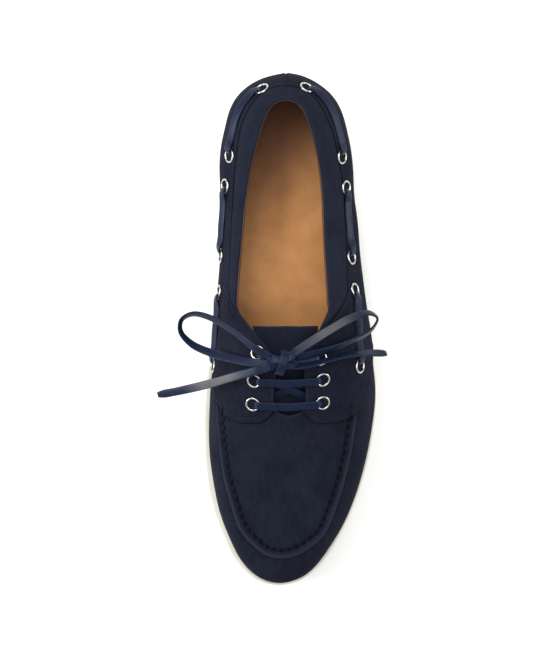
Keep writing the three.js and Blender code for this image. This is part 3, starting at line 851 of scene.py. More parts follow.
@dataclass(frozen=True)
class LaceLeather:
    """Waxed leather lace: its face shines softly, its cut edges are darker and rougher."""

    name: str = "navy_lace_leather"
    colour: Colour = (0.0030, 0.0084, 0.0275)
    rubbed: Colour = (0.0058, 0.0125, 0.0370)
    edge: Colour = (0.0018, 0.0045, 0.0155)
    # painted sheen: the grey laid on where the lace catches the low lights
    painted_sheen: Colour = (0.1050, 0.1010, 0.1080)

    def material(self) -> bpy.types.Material:
        """The lace's material; the mark "across" follows the strap, "sheen" the stretches with painted
        sheen.
        """
        g = Graph(self.name)
        where = g.place()
        cloud = g.noise(where, 5, 3, 0.55)
        grain = g.cells(where, 0.55)
        fine = g.noise(where, 0.3, 3, 0.6)
        across = g.mark("across")
        rim = (across * across).ranged(0.62, 1.0)
        face = g.mix(cloud.ranged(0.42, 0.75) * 0.55, self.colour, self.rubbed)
        shone = g.mix(g.mark("sheen") * (0.45 + 0.5 * cloud), face, self.painted_sheen)
        colour = g.mix(rim * 0.7, shone, self.edge)
        rough = 0.24 + 0.16 * cloud + 0.16 * rim
        height = (1 - grain) * 0.7 + fine * 0.35
        return g.finish(Base_Color=colour, Roughness=rough, Normal=g.bump(height, 0.09),
                        Specular_IOR_Level=0.16)


@dataclass(frozen=True)
class Rubber:
    """Moulded cream rubber: matt, faintly mottled, with painted shade in its low parts."""

    name: str = "cream_rubber"
    colour: Colour = (0.640, 0.630, 0.555)
    shade: Colour = (0.470, 0.455, 0.385)

    def material(self) -> bpy.types.Material:
        """The rubber's material; the mark "deep" lays painted shade in its grooves and cuts."""
        g = Graph(self.name)
        where = g.place()
        mottle = g.noise(where, 12, 4, 0.55)
        fine = g.noise(where, 0.5, 3, 0.6)
        base = g.mix(mottle.ranged(0.45, 0.8) * 0.35, self.colour, self.shade)
        colour = g.mix(g.mark("deep") * 0.8, base, self.shade)
        return g.finish(Base_Color=colour, Roughness=0.52 + 0.16 * fine,
                        Normal=g.bump(fine + mottle * 0.5, 0.08), Specular_IOR_Level=0.4)


@dataclass(frozen=True)
class Nickel:
    """Plated nickel with faint rubbing marks."""

    name: str = "nickel_plate"
    colour: Colour = (0.52, 0.51, 0.49)
    # the rubbing marks' colour, and painted shade on the flange's low parts
    tarnish_and_shade: Colour = (0.13, 0.125, 0.12)

    def material(self) -> bpy.types.Material:
        """The plating's material; the mark "deep" lays painted shade on it down by the suede and in the
        hole.
        """
        g = Graph(self.name)
        where = g.place()
        rub = g.noise(where, 1.6, 4, 0.6)
        rubbed = g.mix(rub.ranged(0.5, 0.8) * 0.4, self.colour, self.tarnish_and_shade)
        colour = g.mix(g.mark("deep"), rubbed, self.tarnish_and_shade)
        return g.finish(Base_Color=colour, Roughness=0.14 + 0.2 * rub, Metallic=1.0,
                        Normal=g.bump(rub, 0.03))


@dataclass(frozen=True)
class Thread:
    """Waxed thread, twisted in fine ridges."""

    name: str
    colour: Colour
    light: Colour
    matt: float = 0.7
    gloss: float = 0.2

    def material(self) -> bpy.types.Material:
        """The thread's material."""
        g = Graph(self.name)
        twist = g.noise(g.place(), 0.35, 2, 0.5)
        colour = g.mix(twist.ranged(0.35, 0.7), self.colour, self.light)
        return g.finish(Base_Color=colour, Roughness=self.matt, Normal=g.bump(twist, 0.1),
                        Specular_IOR_Level=self.gloss)


@dataclass(frozen=True)
class Paper:
    """The studio floor: a pale matt sheet."""

    name: str = "floor_sheet"
    colour: Colour = (0.90, 0.90, 0.90)

    def material(self) -> bpy.types.Material:
        """The sheet's material."""
        return Graph(self.name).finish(Base_Color=self.colour, Roughness=0.9,
                                       Specular_IOR_Level=0.1)


# ---------------------------------------------------------------- the upper

@dataclass(frozen=True)
class Crease:
    """A soft trough (depth above 0) or ridge (below 0) laid on the upper, in millimetres."""

    across: float
    along: float
    heading: float          # degrees in plan, from across towards along
    reach: float
    width: float
    depth: float


CREASES = (
    Crease(-46, 200, 62, 16, 5.0, 0.55), Crease(-45, 214, 74, 14, 4.0, -0.35),
    Crease(44, 196, 110, 17, 5.0, 0.50), Crease(41, 216, 100, 14, 4.5, -0.35),
    Crease(-17, 208, 12, 15, 4.5, 0.40), Crease(9, 212, -14, 16, 5.0, 0.40),
    Crease(-6, 226, 4, 18, 6.5, 0.35), Crease(14, 228, -25, 12, 4.5, -0.25),
    Crease(-24, 232, 30, 12, 4.5, -0.25), Crease(-42, 145, 80, 15, 6.0, 0.70),
    Crease(41, 144, 98, 15, 6.0, 0.65), Crease(-40, 112, 88, 22, 6.0, -0.45),
    Crease(38, 108, 92, 22, 6.0, -0.40), Crease(-39, 84, 70, 15, 5.0, 0.60),
    Crease(34, 80, 112, 15, 5.0, 0.55), Crease(-33, 24, 60, 12, 6.0, 0.45),
    Crease(25, 22, 118, 12, 6.0, 0.45), Crease(-29, 176, 38, 11, 4.0, 0.35),
    Crease(24, 178, -40, 11, 4.0, 0.35), Crease(-33, 152, 48, 12, 4.0, -0.30),
    Crease(28, 151, -52, 12, 4.0, -0.30),
)


@dataclass(frozen=True)
class Relief:
    """How far the suede stands off the last, with its rubbed places and painted highlight, and its
    painted shade.
    """

    height: Array
    wear_and_highlight: Array
    deep: Array


@dataclass(frozen=True)
class Upper:
    """The suede upper: one hollow shell with its panels, seams and creases worked into it."""

    last: Last
    suede: float = 1.15         # thickness of the suede alone
    ridge_height: float = 1.5
    ridge_width: float = 1.75
    step: float = 1.15          # how far the facings stand over the plug
    pitch: float = 5.0          # between the stitches of the raised seam
    thread_line: float = 3.0    # how far inside the raised seam its stitches lie
    seam_start: tuple[float, float] = (172.0, 182.0)    # along, where the raised seam comes up
    band_swell: float = 0.75
    slant_start: float = 118.0  # along, where the band's seam leaves the raised seam's line
    band_ends: tuple[float, float] = (137.0, 145.0)     # along, on the medial and lateral sides
    band_fade: float = 6.0      # over which the band runs out
    dimple: float = 0.3
    dimple_reach: float = 4.6
    crease_fall: float = 12.0   # how far through the form a crease is felt

    def __post_init__(self) -> None:
        """Lays the seams, the mouth and the facings' front edge on the last once."""
        lines = {"ridge": (through(RIDGE, 12), 0.35), "band": (self.band_line(), 0.35),
                 "rim": (self.last.mouth, 0.5)}
        laid = {name: self.last.plan_places(*evenly(line, gap).T).points
                for name, (line, gap) in lines.items()}
        settle(self, {**laid, **curves(FACING_FRONT, "front")})

    def band_line(self) -> Array:
        """The band's seam in plan, from the medial corner round the heel to the lateral one."""
        rear = self.last.seam[self.last.seam[:, 1] < self.slant_start]
        rear = np.roll(rear, -int(np.argmin(rear[:, 1])), axis=0)
        split = int(np.argmax(np.linalg.norm(np.diff(rear, axis=0), axis=1))) + 1
        return np.vstack((CORNER_MEDIAL, rear[split:], rear[:split], CORNER_LATERAL[::-1]))

    def cover(self, points: Array) -> Array:
        """How far back from the facings' front edge each point lies, in millimetres along."""
        off = np.abs(points[:, 0] - self.last.spine(points[:, 1]))
        drop = self.last.crest(points[:, 1]) - points[:, 2]
        fall = off + np.maximum(drop, 0)
        return (self.front(fall) - points[:, 1]) / np.sqrt(1 + self.front_slope(fall) ** 2)

    def front_slope(self, fall: Array) -> Array:
        """How steeply the facings' front edge runs at a distance across and down from the crest."""
        return self.front(fall + 0.5) - self.front(fall - 0.5)

    def creased(self, points: Array) -> Array:
        """The listed creases: each exp(-(u/reach)^2 - (v/width)^2 - (w/fall)^2) deep."""
        total = np.zeros(len(points))
        for crease in CREASES:
            spot = self.last.plan_places(np.array([crease.across]), np.array([crease.along]))
            turn = math.radians(crease.heading)
            normal = spot.normals[0]
            run = np.array([math.cos(turn), math.sin(turn), 0.0])
            run = unit(run - normal * (run @ normal))
            gap = points - spot.points[0]
            fall = (bell(gap @ run, crease.reach) * bell(gap @ np.cross(normal, run), crease.width)
                    * bell(gap @ normal, self.crease_fall))
            total -= crease.depth * fall
        return total

    def relief(self, places: Places) -> Relief:
        """The suede's height over the last at some places.

        Height is the sum of the raised seam (a hump, with a groove and the gathers of its
        stitches beside it), the facings' step over the plug, the collar's padded band with
        the groove under it, dimples round the eyelets, the creases and a slow waviness.
        """
        shape = places.level.shape
        points = places.points.reshape(-1, 3)
        inside = np.sign(places.level - places.seam_level).reshape(-1)
        cover = self.cover(points)
        over = smooth(-0.3, 0.3, cover)
        front = smooth(*self.seam_start, points[:, 1]) * (1 - over)
        far, run = nearest(points, self.ridge)
        d = far * inside
        beat = 0.5 + 0.5 * np.cos(2 * np.pi * run / self.pitch)
        hump = self.ridge_height * bell(d, self.ridge_width) * (0.86 + 0.14 * (1 - beat))
        gather = 0.42 * bell(d + 4.2, 2.8) * (beat - 0.5)
        pulled = (-0.55 * bell(d - self.thread_line, 1.1) - 0.5 * beat * bell(d - self.thread_line, 1.2)
                  - 0.3 * bell(d + 2.4, 0.9))
        rise = 0.35 * bell(d - 6.5, 2.6) * (1.1 - 0.5 * beat)
        height = front * (hump + gather + pulled + rise)
        height += self.step * over - 0.6 + 0.35 * over * bell(cover - 1.0, 0.9)
        band_far, _ = nearest(points, self.band)
        rim_far, _ = nearest(points, self.rim)
        reach = np.where(points[:, 0] > 0, self.band_ends[1], self.band_ends[0])
        rear = 1 - smooth(reach - self.band_fade, reach, points[:, 1])
        b = band_far * np.where(self.behind_corner(points), inside, -1)
        share = np.clip(b / np.maximum(b + rim_far, 1e-6), 0, 1)
        swell = self.band_swell * np.sin(np.pi * share) ** 0.8 * (b > 0)
        rolls = 0.28 * bell(b - 1.0, 0.5) + 0.28 * bell(b + 1.0, 0.6)
        height += rear * (swell - 0.5 * bell(b, 0.55) + rolls)
        height += self.creased(points) + self.wavy(points) + self.dimples(points)
        height += self.back_seam(points)
        stitched = bell(d - self.thread_line, 1.0) * (0.45 + 0.55 * beat)
        # Painted shade: in the stitch holes and the groove by the raised seam, under the facings' front
        # edge, in the band's seam and down the heel's back seam.
        deep = np.maximum.reduce([
            0.75 * front * stitched, 0.25 * front * bell(d + 2.3, 0.6),
            0.8 * bell(cover + 0.55, 0.5), 0.9 * rear * bell(b, 0.55),
            0.5 * bell(points[:, 0] - HEEL_TIP[0], 0.4) * (points[:, 1] < 8)])
        # Rubbing and painted highlight: on top of the raised seam and between its stitches, along the
        # facings' front edge and the mouth's edge, and on the band.
        wear_and_highlight = np.maximum.reduce([
            0.75 * front * bell(d + 0.3, 0.95), 0.4 * front * bell(d - 2.6, 0.9) * (1 - beat),
            0.5 * bell(cover - 0.35, 0.4), 0.35 * bell(rim_far - 0.5, 0.7),
            0.35 * rear * bell(b + 1.0, 0.6), 0.3 * rear * bell(b - 1.0, 0.5),
            0.2 * rear * smooth(0.3, 1.2, b)])
        return Relief(*(part.reshape(shape) for part in (height, wear_and_highlight, deep)))

    def behind_corner(self, points: Array) -> Array:
        """Which points lie behind the slants that end the collar's band."""
        medial, lateral = np.array(CORNER_MEDIAL[::-1]), np.array(CORNER_LATERAL)
        across = points[:, 0]
        limit = np.where(across > 0, np.interp(across, *lateral.T, right=300),
                         np.interp(across, *medial.T, left=300))
        return points[:, 1] < limit

    def wavy(self, points: Array) -> Array:
        """A slow waviness of the skin, from four crossed sine waves of uneven lengths."""
        x, y, z = points.T
        return 0.12 * (np.sin(x / 6.1 + y / 9.7 + 0.4) + np.sin(y / 5.3 - z / 7.9 + 1.7)
                       + np.sin(x / 9.1 - y / 13.3 + z / 6.7) + 0.6 * np.sin(x / 3.9 + z / 4.7 - y / 7.1))

    def dimples(self, points: Array) -> Array:
        """The suede pressed in a little round each eyelet."""
        total = np.zeros(len(points))
        for place in EYELETS:
            for side in Side:
                across, along = place.at(side)
                spot = self.last.plan_places(np.array([across]), np.array([along])).points[0]
                far = np.linalg.norm(points - spot, axis=1)
                total -= self.dimple * bell(far, self.dimple_reach)
        return total

    def back_seam(self, points: Array) -> Array:
        """The closing seam down the middle of the heel: a narrow groove between two low rolls."""
        off = points[:, 0] - HEEL_TIP[0]
        behind = 1 - smooth(8, 14, points[:, 1])
        return behind * (0.22 * bell(np.abs(off) - 1.5, 0.9) - 0.28 * bell(off, 0.7))

    def stations(self) -> Array:
        """The ribs' stations on one side, closest where the raised seam runs."""
        last, vamp = self.last, 158
        return np.concatenate((
            np.linspace(0, last.heel_centre, 40, endpoint=False),
            np.linspace(last.heel_centre, vamp, 84, endpoint=False),
            np.linspace(vamp, last.toe_centre, 104, endpoint=False),
            np.linspace(last.toe_centre, last.toe_end, 106)))

    def levels(self, ribs: Ribs, top: Array) -> Array:
        """Levels of the rows on each rib: close together at the seam and at the mouth's edge."""
        seam = self.last.seam_level(ribs)
        half = np.minimum(0.14, 0.42 * (top - seam))
        stops = [-np.ones_like(top), np.zeros_like(top), seam - half, seam + half]
        counts = (4, 14, 30)
        parts = [a[:, None] + (b - a)[:, None] * np.arange(n) / n
                 for a, b, n in zip(stops, stops[1:], counts)]
        even = np.linspace(0, 1, 44)
        ease = 0.35 * 0.5 * (1 - np.cos(np.pi * even)) + 0.65 * even
        parts.append(stops[3][:, None] + (top - stops[3])[:, None] * ease)
        return np.hstack(parts)

    def skin(self) -> tuple[Places, Array]:
        """The outer grid's places, with normals shared at the crest, and which ribs end open."""
        side, station = self.last.circuit(self.stations())
        ribs = self.last.ribs(side, station)
        opened = station < SLOT_END[1]
        out = np.where(opened, self.last.reach(ribs.foot, ribs.way, self.last.mouth), 0.0)
        level = self.levels(ribs, self.last.level_at(ribs, out))
        wide = Ribs(ribs.foot[:, None], ribs.way[:, None], ribs.half[:, None], ribs.lateral[:, None])
        points = self.last.point(wide, level)
        before, after = np.roll(points, 1, 0), np.roll(points, -1, 0)
        normals = unit(np.cross(after - before, np.gradient(points, axis=1)))
        normals[~opened, -1] = self.crest_normals(points[~opened, -1], normals[~opened, -2])
        seam = np.repeat(self.last.seam_level(ribs)[:, None], level.shape[1], 1)
        return Places(level, points, normals, seam), opened

    def crest_normals(self, points: Array, beside: Array) -> Array:
        """One normal for the crest points that lie together, from the rows beside them."""
        _, back = np.unique(np.round(points, 3), axis=0, return_inverse=True)
        total = np.zeros((back.max() + 1, 3))
        np.add.at(total, back.reshape(-1), beside)
        return unit(total)[back.reshape(-1)]

    def folded(self, outer: Array, inner: Array, opened: Array, marks: dict[str, Array]) -> Shell:
        """One closed shell from an outer and an inner grid that meet at the mouth's edge.

        Ribs that aren't open run on over the crest, so their two grids aren't joined there.
        """
        grid = np.concatenate((outer, inner), 1)
        keep = np.ones(grid.shape[:2], bool)
        keep[:, outer.shape[1] - 1] = opened | np.roll(opened, -1)
        faces = grid_faces(*grid.shape[:2], True, True, keep)
        flat = {name: mark.reshape(-1) for name, mark in marks.items()}
        return Shell(grid.reshape(-1, 3), faces, flat).welded()

    def shell(self) -> Shell:
        """The closed shell: the outer skin, the rounded edge of the mouth and the inner skin."""
        places, opened = self.skin()
        relief = self.relief(places)
        edge = places.points[:, -1:, :]
        depth = np.where(opened[:, None], np.linalg.norm(places.points - edge, axis=2), 99.0)
        half = self.suede / 2
        lip = half * (1 - np.sqrt(np.clip(1 - np.clip(1 - depth / (1.6 * half), 0, 1) ** 2, 0, 1)))
        height = relief.height - lip
        foot = 1 - smooth(-1.0, -0.4, places.level)
        height = height * (1 - foot) - 0.5 * foot
        outer = places.points + places.normals * height[..., None]
        under = -self.suede + np.minimum(relief.height, 0.4) * 0.6 + lip * 0.9
        inner = places.points + places.normals * np.minimum(under, height - 0.35)[..., None]
        inner = inner[:, ::-3]
        blank = np.zeros(inner.shape[:2])
        marks = {"wear_and_highlight": np.hstack((relief.wear_and_highlight, blank)), "deep": np.hstack((relief.deep, blank))}
        return self.folded(outer, inner, opened, marks)

    def lining(self, thick: float = 0.8, proud: float = 0.35) -> Shell:
        """The tan lining inside the suede, standing a little inwards of the mouth's edge."""
        places, opened = self.skin()
        rows = np.arange(0, places.points.shape[1], 3)
        rows[-1] = places.points.shape[1] - 1
        points, normals = places.points[:, rows], places.normals[:, rows]
        edge = points[:, -1:]
        inward = unit(edge - points[:, -2:-1])
        collar = 1 - smooth(130, 138, edge[..., 1])
        far = np.where(opened[:, None], np.linalg.norm(points - edge, axis=2), np.inf)
        near, sunk = collar * bell(far, 1.5), (1 - collar) * bell(far, 2.5)
        points = points + inward * (proud * near - 1.6 * sunk)[..., None]
        relief = np.minimum(self.relief(places).height[:, rows], 0.4) * 0.6
        outer = points + normals * (relief - self.suede - 0.03 + 0.35 * near)[..., None]
        inner = (points + normals * (relief - self.suede - thick)[..., None])[:, ::-1]
        across, along = (np.hstack((outer[..., k], inner[..., k])) for k in range(2))
        # Painted shade on the lining: by the end of the throat's slot, and along the mouth's edge,
        # strongest round the heel.
        deep = bell(across + 3, 17) * smooth(148, 158, along)
        rim = np.hstack((near, near[:, ::-1])) * (1 - 0.65 * smooth(15, 80, along))
        marks = {"deep": np.clip(1.6 * deep + 0.85 * rim, 0, 1)}
        return self.folded(outer, inner, opened, marks)

    def on_skin(self, places: Places, lift: Array | float = 0.0) -> Array:
        """Points lifted off the suede along the last's normals."""
        height = self.relief(places).height + lift
        return places.points + places.normals * height[..., None]

    def build(self) -> None:
        """Makes the suede and its lining."""
        make_object("upper_suede", self.shell(), Suede().material(), Slot.SUEDE, "upper")
        # A tan far darker than the sock's, as painted shade for the lining in the collar's shadow.
        tan = SmoothLeather("tan_lining", (0.085, 0.033, 0.017), (0.060, 0.022, 0.012), 0.6)
        make_object("upper_lining", self.lining(), tan.material(), Slot.TAN)


# ---------------------------------------------------------------- tongue, sock and sole

@dataclass(frozen=True)
class Tongue:
    """The suede tongue under the facings: straight at its top edge, a little narrower below."""

    last: Last
    start: float = 142.0
    end: float = 204.0
    thick: float = 1.9
    depth: float = 4.55         # of its outer face under the last's surface
    curl: float = 1.1           # how far the middle of its top edge dips
    top: tuple[float, float] = (-27.0, 15.5)    # across, its two sides at the top edge
    low: tuple[float, float] = (-20.0, 15.0)    # and a third of the way down

    def shell(self, rows: int = 90, columns: int = 70) -> Shell:
        """A slab with rounded edges, following the last at its depth below the upper."""
        share = 0.5 * (1 - np.cos(np.pi * np.linspace(0, 1, columns)))
        run = np.linspace(0, 1, rows) ** 1.15
        along = np.repeat((self.start + (self.end - self.start) * run)[:, None], columns, 1)
        ease = np.minimum(1, 3 * run)[:, None]
        left = self.top[0] + (self.low[0] - self.top[0]) * ease
        right = self.top[1] + (self.low[1] - self.top[1]) * ease
        across = left + (right - left) * share
        places = self.last.plan_places(across, along)
        rim = np.minimum(np.minimum(share, 1 - share) * (right - left), along - self.start)
        half = self.thick / 2
        round_off = half * np.sqrt(np.clip(1 - np.clip(1 - rim / half, 0, 1) ** 2, 0.02, 1))
        wave = (0.35 * np.sin(across / 7 + 0.6) * np.sin(along / 6 + across / 15)
                + 0.16 * np.sin(across / 2.7 - along / 4.1))
        curl = self.curl * bell(along - self.start, 5.0) * np.cos(np.pi * (share - 0.45))
        middle = places.points + places.normals * (wave - curl - self.depth - half)[..., None]
        outer = middle + places.normals * round_off[..., None]
        inner = middle - places.normals * round_off[..., None]
        grid = np.concatenate((outer, inner[:, ::-1]), 1)
        count, around = grid.shape[:2]
        side = grid_faces(count, around, wrap_columns=True)
        ends = self.end_faces(columns, 0), self.end_faces(columns, (count - 1) * around)[:, ::-1]
        # Rubbing and painted highlight along the tongue's rounded edges.
        wear_and_highlight = 0.7 * np.hstack((bell(rim - 0.4, 0.6), np.zeros(rim.shape))).reshape(-1)
        marks = {"wear_and_highlight": wear_and_highlight, "deep": np.zeros(wear_and_highlight.size)}
        return Shell(grid.reshape(-1, 3), np.vstack((side, *ends)), marks).welded()

    def end_faces(self, columns: int, start: int) -> Array:
        """Faces that close one end of the slab, between its outer and inner rows."""
        i = np.arange(columns - 1)
        a, b = start + i, start + i + 1
        c, d = start + 2 * columns - 2 - i, start + 2 * columns - 1 - i
        return np.vstack((np.stack((b, a, d), 1), np.stack((b, d, c), 1)))

    def build(self) -> None:
        """Makes the tongue."""
        make_object("tongue_suede", self.shell(), Suede("tongue_suede").material(), Slot.SUEDE,
                    "tongue")


@dataclass(frozen=True)
class Footbed:
    """The tan sock: a smooth leather sheet on a slightly dished bed."""

    last: Last
    thick: float = 2.6
    inset: float = 3.2          # of its edge inside the last's feather edge
    dish: float = 0.9           # how far its middle lies below its edge
    brim: float = 0.5           # how far the last of its edge turns up

    def shell(self) -> Shell:
        """Rings from the middle of the underside out, round the edge and back over the top."""
        ribs = self.last.ribs(*self.last.circuit(self.last.spread(18, 70, 22)))
        edge = ribs.half * (1 - self.last.tuck) - self.inset
        share = np.concatenate((np.linspace(0, 1, 4), [1.0, 1.0], np.linspace(1, 0, 26)[1:]))[:, None]
        level = np.concatenate((np.zeros(4), [0.5, 0.8], np.ones(25)))[:, None]
        out = edge * share
        out[3] -= 0.4
        out[5] -= 0.3
        across, along = ribs.plan(out)
        dish = self.brim * share ** 6 - self.dish * (1 - share ** 2)
        soft = 0.12 * np.sin(across / 5 + along / 8)
        base = self.last.feather(along) + self.last.gap
        height = base + self.thick * level + (level >= 1) * (dish + soft)
        # Painted shade on the sock: darkest at the back of the heel, reaching further forward on the
        # medial side, with a little more under the tongue.
        heel = 0.97 * (1 - smooth(18, 125, along + 1.9 * np.clip(across + 4, -2, 30)))
        marks = {"heel": heel + 0.2 * smooth(118, 140, along)}
        return stacked(np.stack((across, along, height), -1), marks)

    def build(self) -> None:
        """Makes the sock."""
        make_object("insole_sock", self.shell(), SockLeather().material(), Slot.TAN, "insole")


@dataclass(frozen=True)
class Sole:
    """The rubber unit sole: rounded edges, a grooved side wall and a tread of waved cuts."""

    last: Last
    edge: float = 0.9           # radius of the top edge
    corner: float = 2.4         # how far the lower corner is rounded in
    corner_height: float = 1.6
    bare: float = 0.2           # between the tread and the lower corner
    fade: float = 6.0           # over which the cuts run out towards the corner
    groove: float = 0.45
    cut_pitch: float = 5.2
    cut_depth: float = 0.9

    def __post_init__(self) -> None:
        """Turns the sole's table into curves."""
        settle(self, curves(SOLE_ROWS, "under", "medial", "lateral"))

    def tread(self, across: Array, along: Array) -> Array:
        """The cuts in the tread: narrow waved troughs that run across."""
        phase = along / self.cut_pitch + 0.28 * np.sin(across * 2 * np.pi / 11)
        return self.cut_depth * np.clip(np.cos(2 * np.pi * phase) * 2.4 - 1.4, 0, 1)

    def shell(self) -> Shell:
        """Rings from the middle of the tread out, up the side wall and back over the top.

        A ring's height is a share of the way from the underside, plus rise, to the top, plus fall.
        """
        ribs = self.last.ribs(*self.last.circuit(self.last.spread(40, 190, 54)))
        _, at = ribs.plan(ribs.half)
        rim = ribs.half + self.medial(at) * (1 - ribs.lateral) + self.lateral(at) * ribs.lateral
        tread_edge = rim - self.corner - self.bare
        tread = np.linspace(0, 1, 34)[:, None]
        turn = np.linspace(0, 1, 5)[1:, None] * np.pi / 2
        wall = np.linspace(0, 1, 18)[1:-1, None]
        crown = np.linspace(0, 1, 6)[:, None] * np.pi / 2
        top = np.linspace(1, 0, 8)[1:, None]
        out = np.vstack((
            tread * tread_edge,
            rim - self.corner * (1 - np.sin(turn)),
            rim - self.grooves(wall),
            rim - self.edge * (1 - np.cos(crown)),
            top * (rim - self.edge)))
        share = np.vstack((0 * tread, 0 * turn, wall, 0 * crown + 1, 0 * top + 1))
        rounded = self.corner_height * (1 - np.cos(turn))
        full = np.full((len(share) - len(tread) - len(turn), 1), self.corner_height)
        rise = np.vstack((0 * tread, rounded, full))
        level = np.vstack((0 * tread, 0 * turn, 0 * wall - self.edge))
        fall = np.vstack((level, self.edge * (np.sin(crown) - 1), 0 * top))
        across, along = ribs.plan(out)
        low, high = self.under(along) + rise, self.last.feather(along) + fall
        on_tread = np.arange(len(out))[:, None] < len(tread)
        cuts = on_tread * self.tread(across, along) * smooth(0, self.fade, tread_edge - out)
        # Painted shade in the tread's cuts and the side wall's grooves.
        deep = cuts / self.cut_depth
        first = len(tread) + len(turn)
        deep[first:first + len(wall)] = np.clip(self.grooves(wall) / self.groove, 0, 1)
        height = low + (high - low) * share + cuts
        return stacked(np.stack((across, along, height), -1), {"deep": deep})

    def grooves(self, share: Array) -> Array:
        """How far the side wall is let in: one line low down and one under the top edge."""
        return self.groove * (bell(share - 0.28, 0.05) + bell(share - 0.8, 0.05))

    def build(self) -> None:
        """Makes the sole."""
        make_object("sole_rubber", self.shell(), Rubber().material(), Slot.RUBBER, "sole")


# ---------------------------------------------------------------- eyelets

@dataclass(frozen=True)
class Eyelets:
    """The nickel eyelets: rolled flanges on the suede, with a dark bowl of painted shade in each hole."""

    upper: Upper
    outer: float = 4.2          # radius of the flange
    inner: float = 2.95         # radius of the hole
    crown: float = 0.95         # height of the rolled rim

    def ring(self, around: int = 40) -> tuple[Array, Array]:
        """A flange as a closed profile turned about its axis.

        Returns:
            The points (around, profile, 3) about the origin, and their faces.
        """
        middle, half = (self.outer + self.inner) / 2, (self.outer - self.inner) / 2
        arc = np.linspace(0, np.pi, 9)
        profile = np.concatenate((
            np.stack((middle + half * np.cos(arc), 0.25 + self.crown * np.sin(arc) ** 0.8), 1),
            [(self.inner - 0.05, -0.9), (self.outer - 0.5, -0.9)]))
        turn = np.linspace(0, 2 * np.pi, around, endpoint=False)[:, None]
        points = np.stack((profile[:, 0] * np.cos(turn), profile[:, 0] * np.sin(turn),
                           profile[:, 1] + 0 * turn), -1)
        return points, grid_faces(around, len(profile), True, True)

    def throat(self, around: int = 24) -> tuple[Array, Array]:
        """A shallow dark bowl of painted shade that closes the hole, as a lens of rings."""
        radius = np.array([0, 1.5, 2.4, 2.95, 2.95, 1.5, 0.0])
        height = np.array([-0.15, -0.1, 0.0, 0.15, -0.5, -0.7, -0.7])
        turn = np.linspace(0, 2 * np.pi, around, endpoint=False)[:, None]
        points = np.stack((radius * np.cos(turn), radius * np.sin(turn), height + 0 * turn), -1)
        return points, grid_faces(around, len(radius), wrap_rows=True)

    def seats(self) -> tuple[Array, Array, list[str]]:
        """Middle, normal and name of each eyelet, in the order of the pairs."""
        spots, names = [], []
        for place in EYELETS:
            for side in Side:
                spots.append(place.at(side))
                names.append(f"{place.name}_{side.name.lower()}")
        places = self.upper.last.plan_places(*np.array(spots).T)
        return self.upper.on_skin(places), places.normals, names

    def placed(self, shape: tuple[Array, Array]) -> Shell:
        """One shape set on every seat, with its low parts marked for painted shade."""
        points, faces = shape
        flat = points.reshape(-1, 3)
        middles, normals, _ = self.seats()
        first = unit(np.cross(normals, [0.0, 1.0, 0.0]))
        return copies(flat, faces, middles, normals, first, {"deep": 1 - smooth(0.35, 1.05, flat[:, 2])})

    def build(self) -> None:
        """Makes the flanges and the painted-shade bowls in their holes, each as one object."""
        names = self.seats()[2]
        make_object("eyelet_flanges", self.placed(self.ring()), Nickel().material(), Slot.NICKEL,
                    *names)
        dark = SmoothLeather("eyelet_shadow", (0.004, 0.004, 0.008), (0.002, 0.002, 0.004), 0.8)
        make_object("eyelet_hole_shadows", self.placed(self.throat()), dark.material(), Slot.NICKEL)


# ---------------------------------------------------------------- laces

WIDTH = 4.8
THICK = 1.3
FREE_STEPS = 10             # samples in each span of a free length
# Distance from the eyelet's middle, and height of the lace's middle over the suede.
LACE_LIFT = np.array([
    (0, -1.9), (1.2, 0.2), (2.6, 1.75), (4.2, 1.95), (6.0, 1.65), (8.5, 1.15), (12.0, 0.95),
])


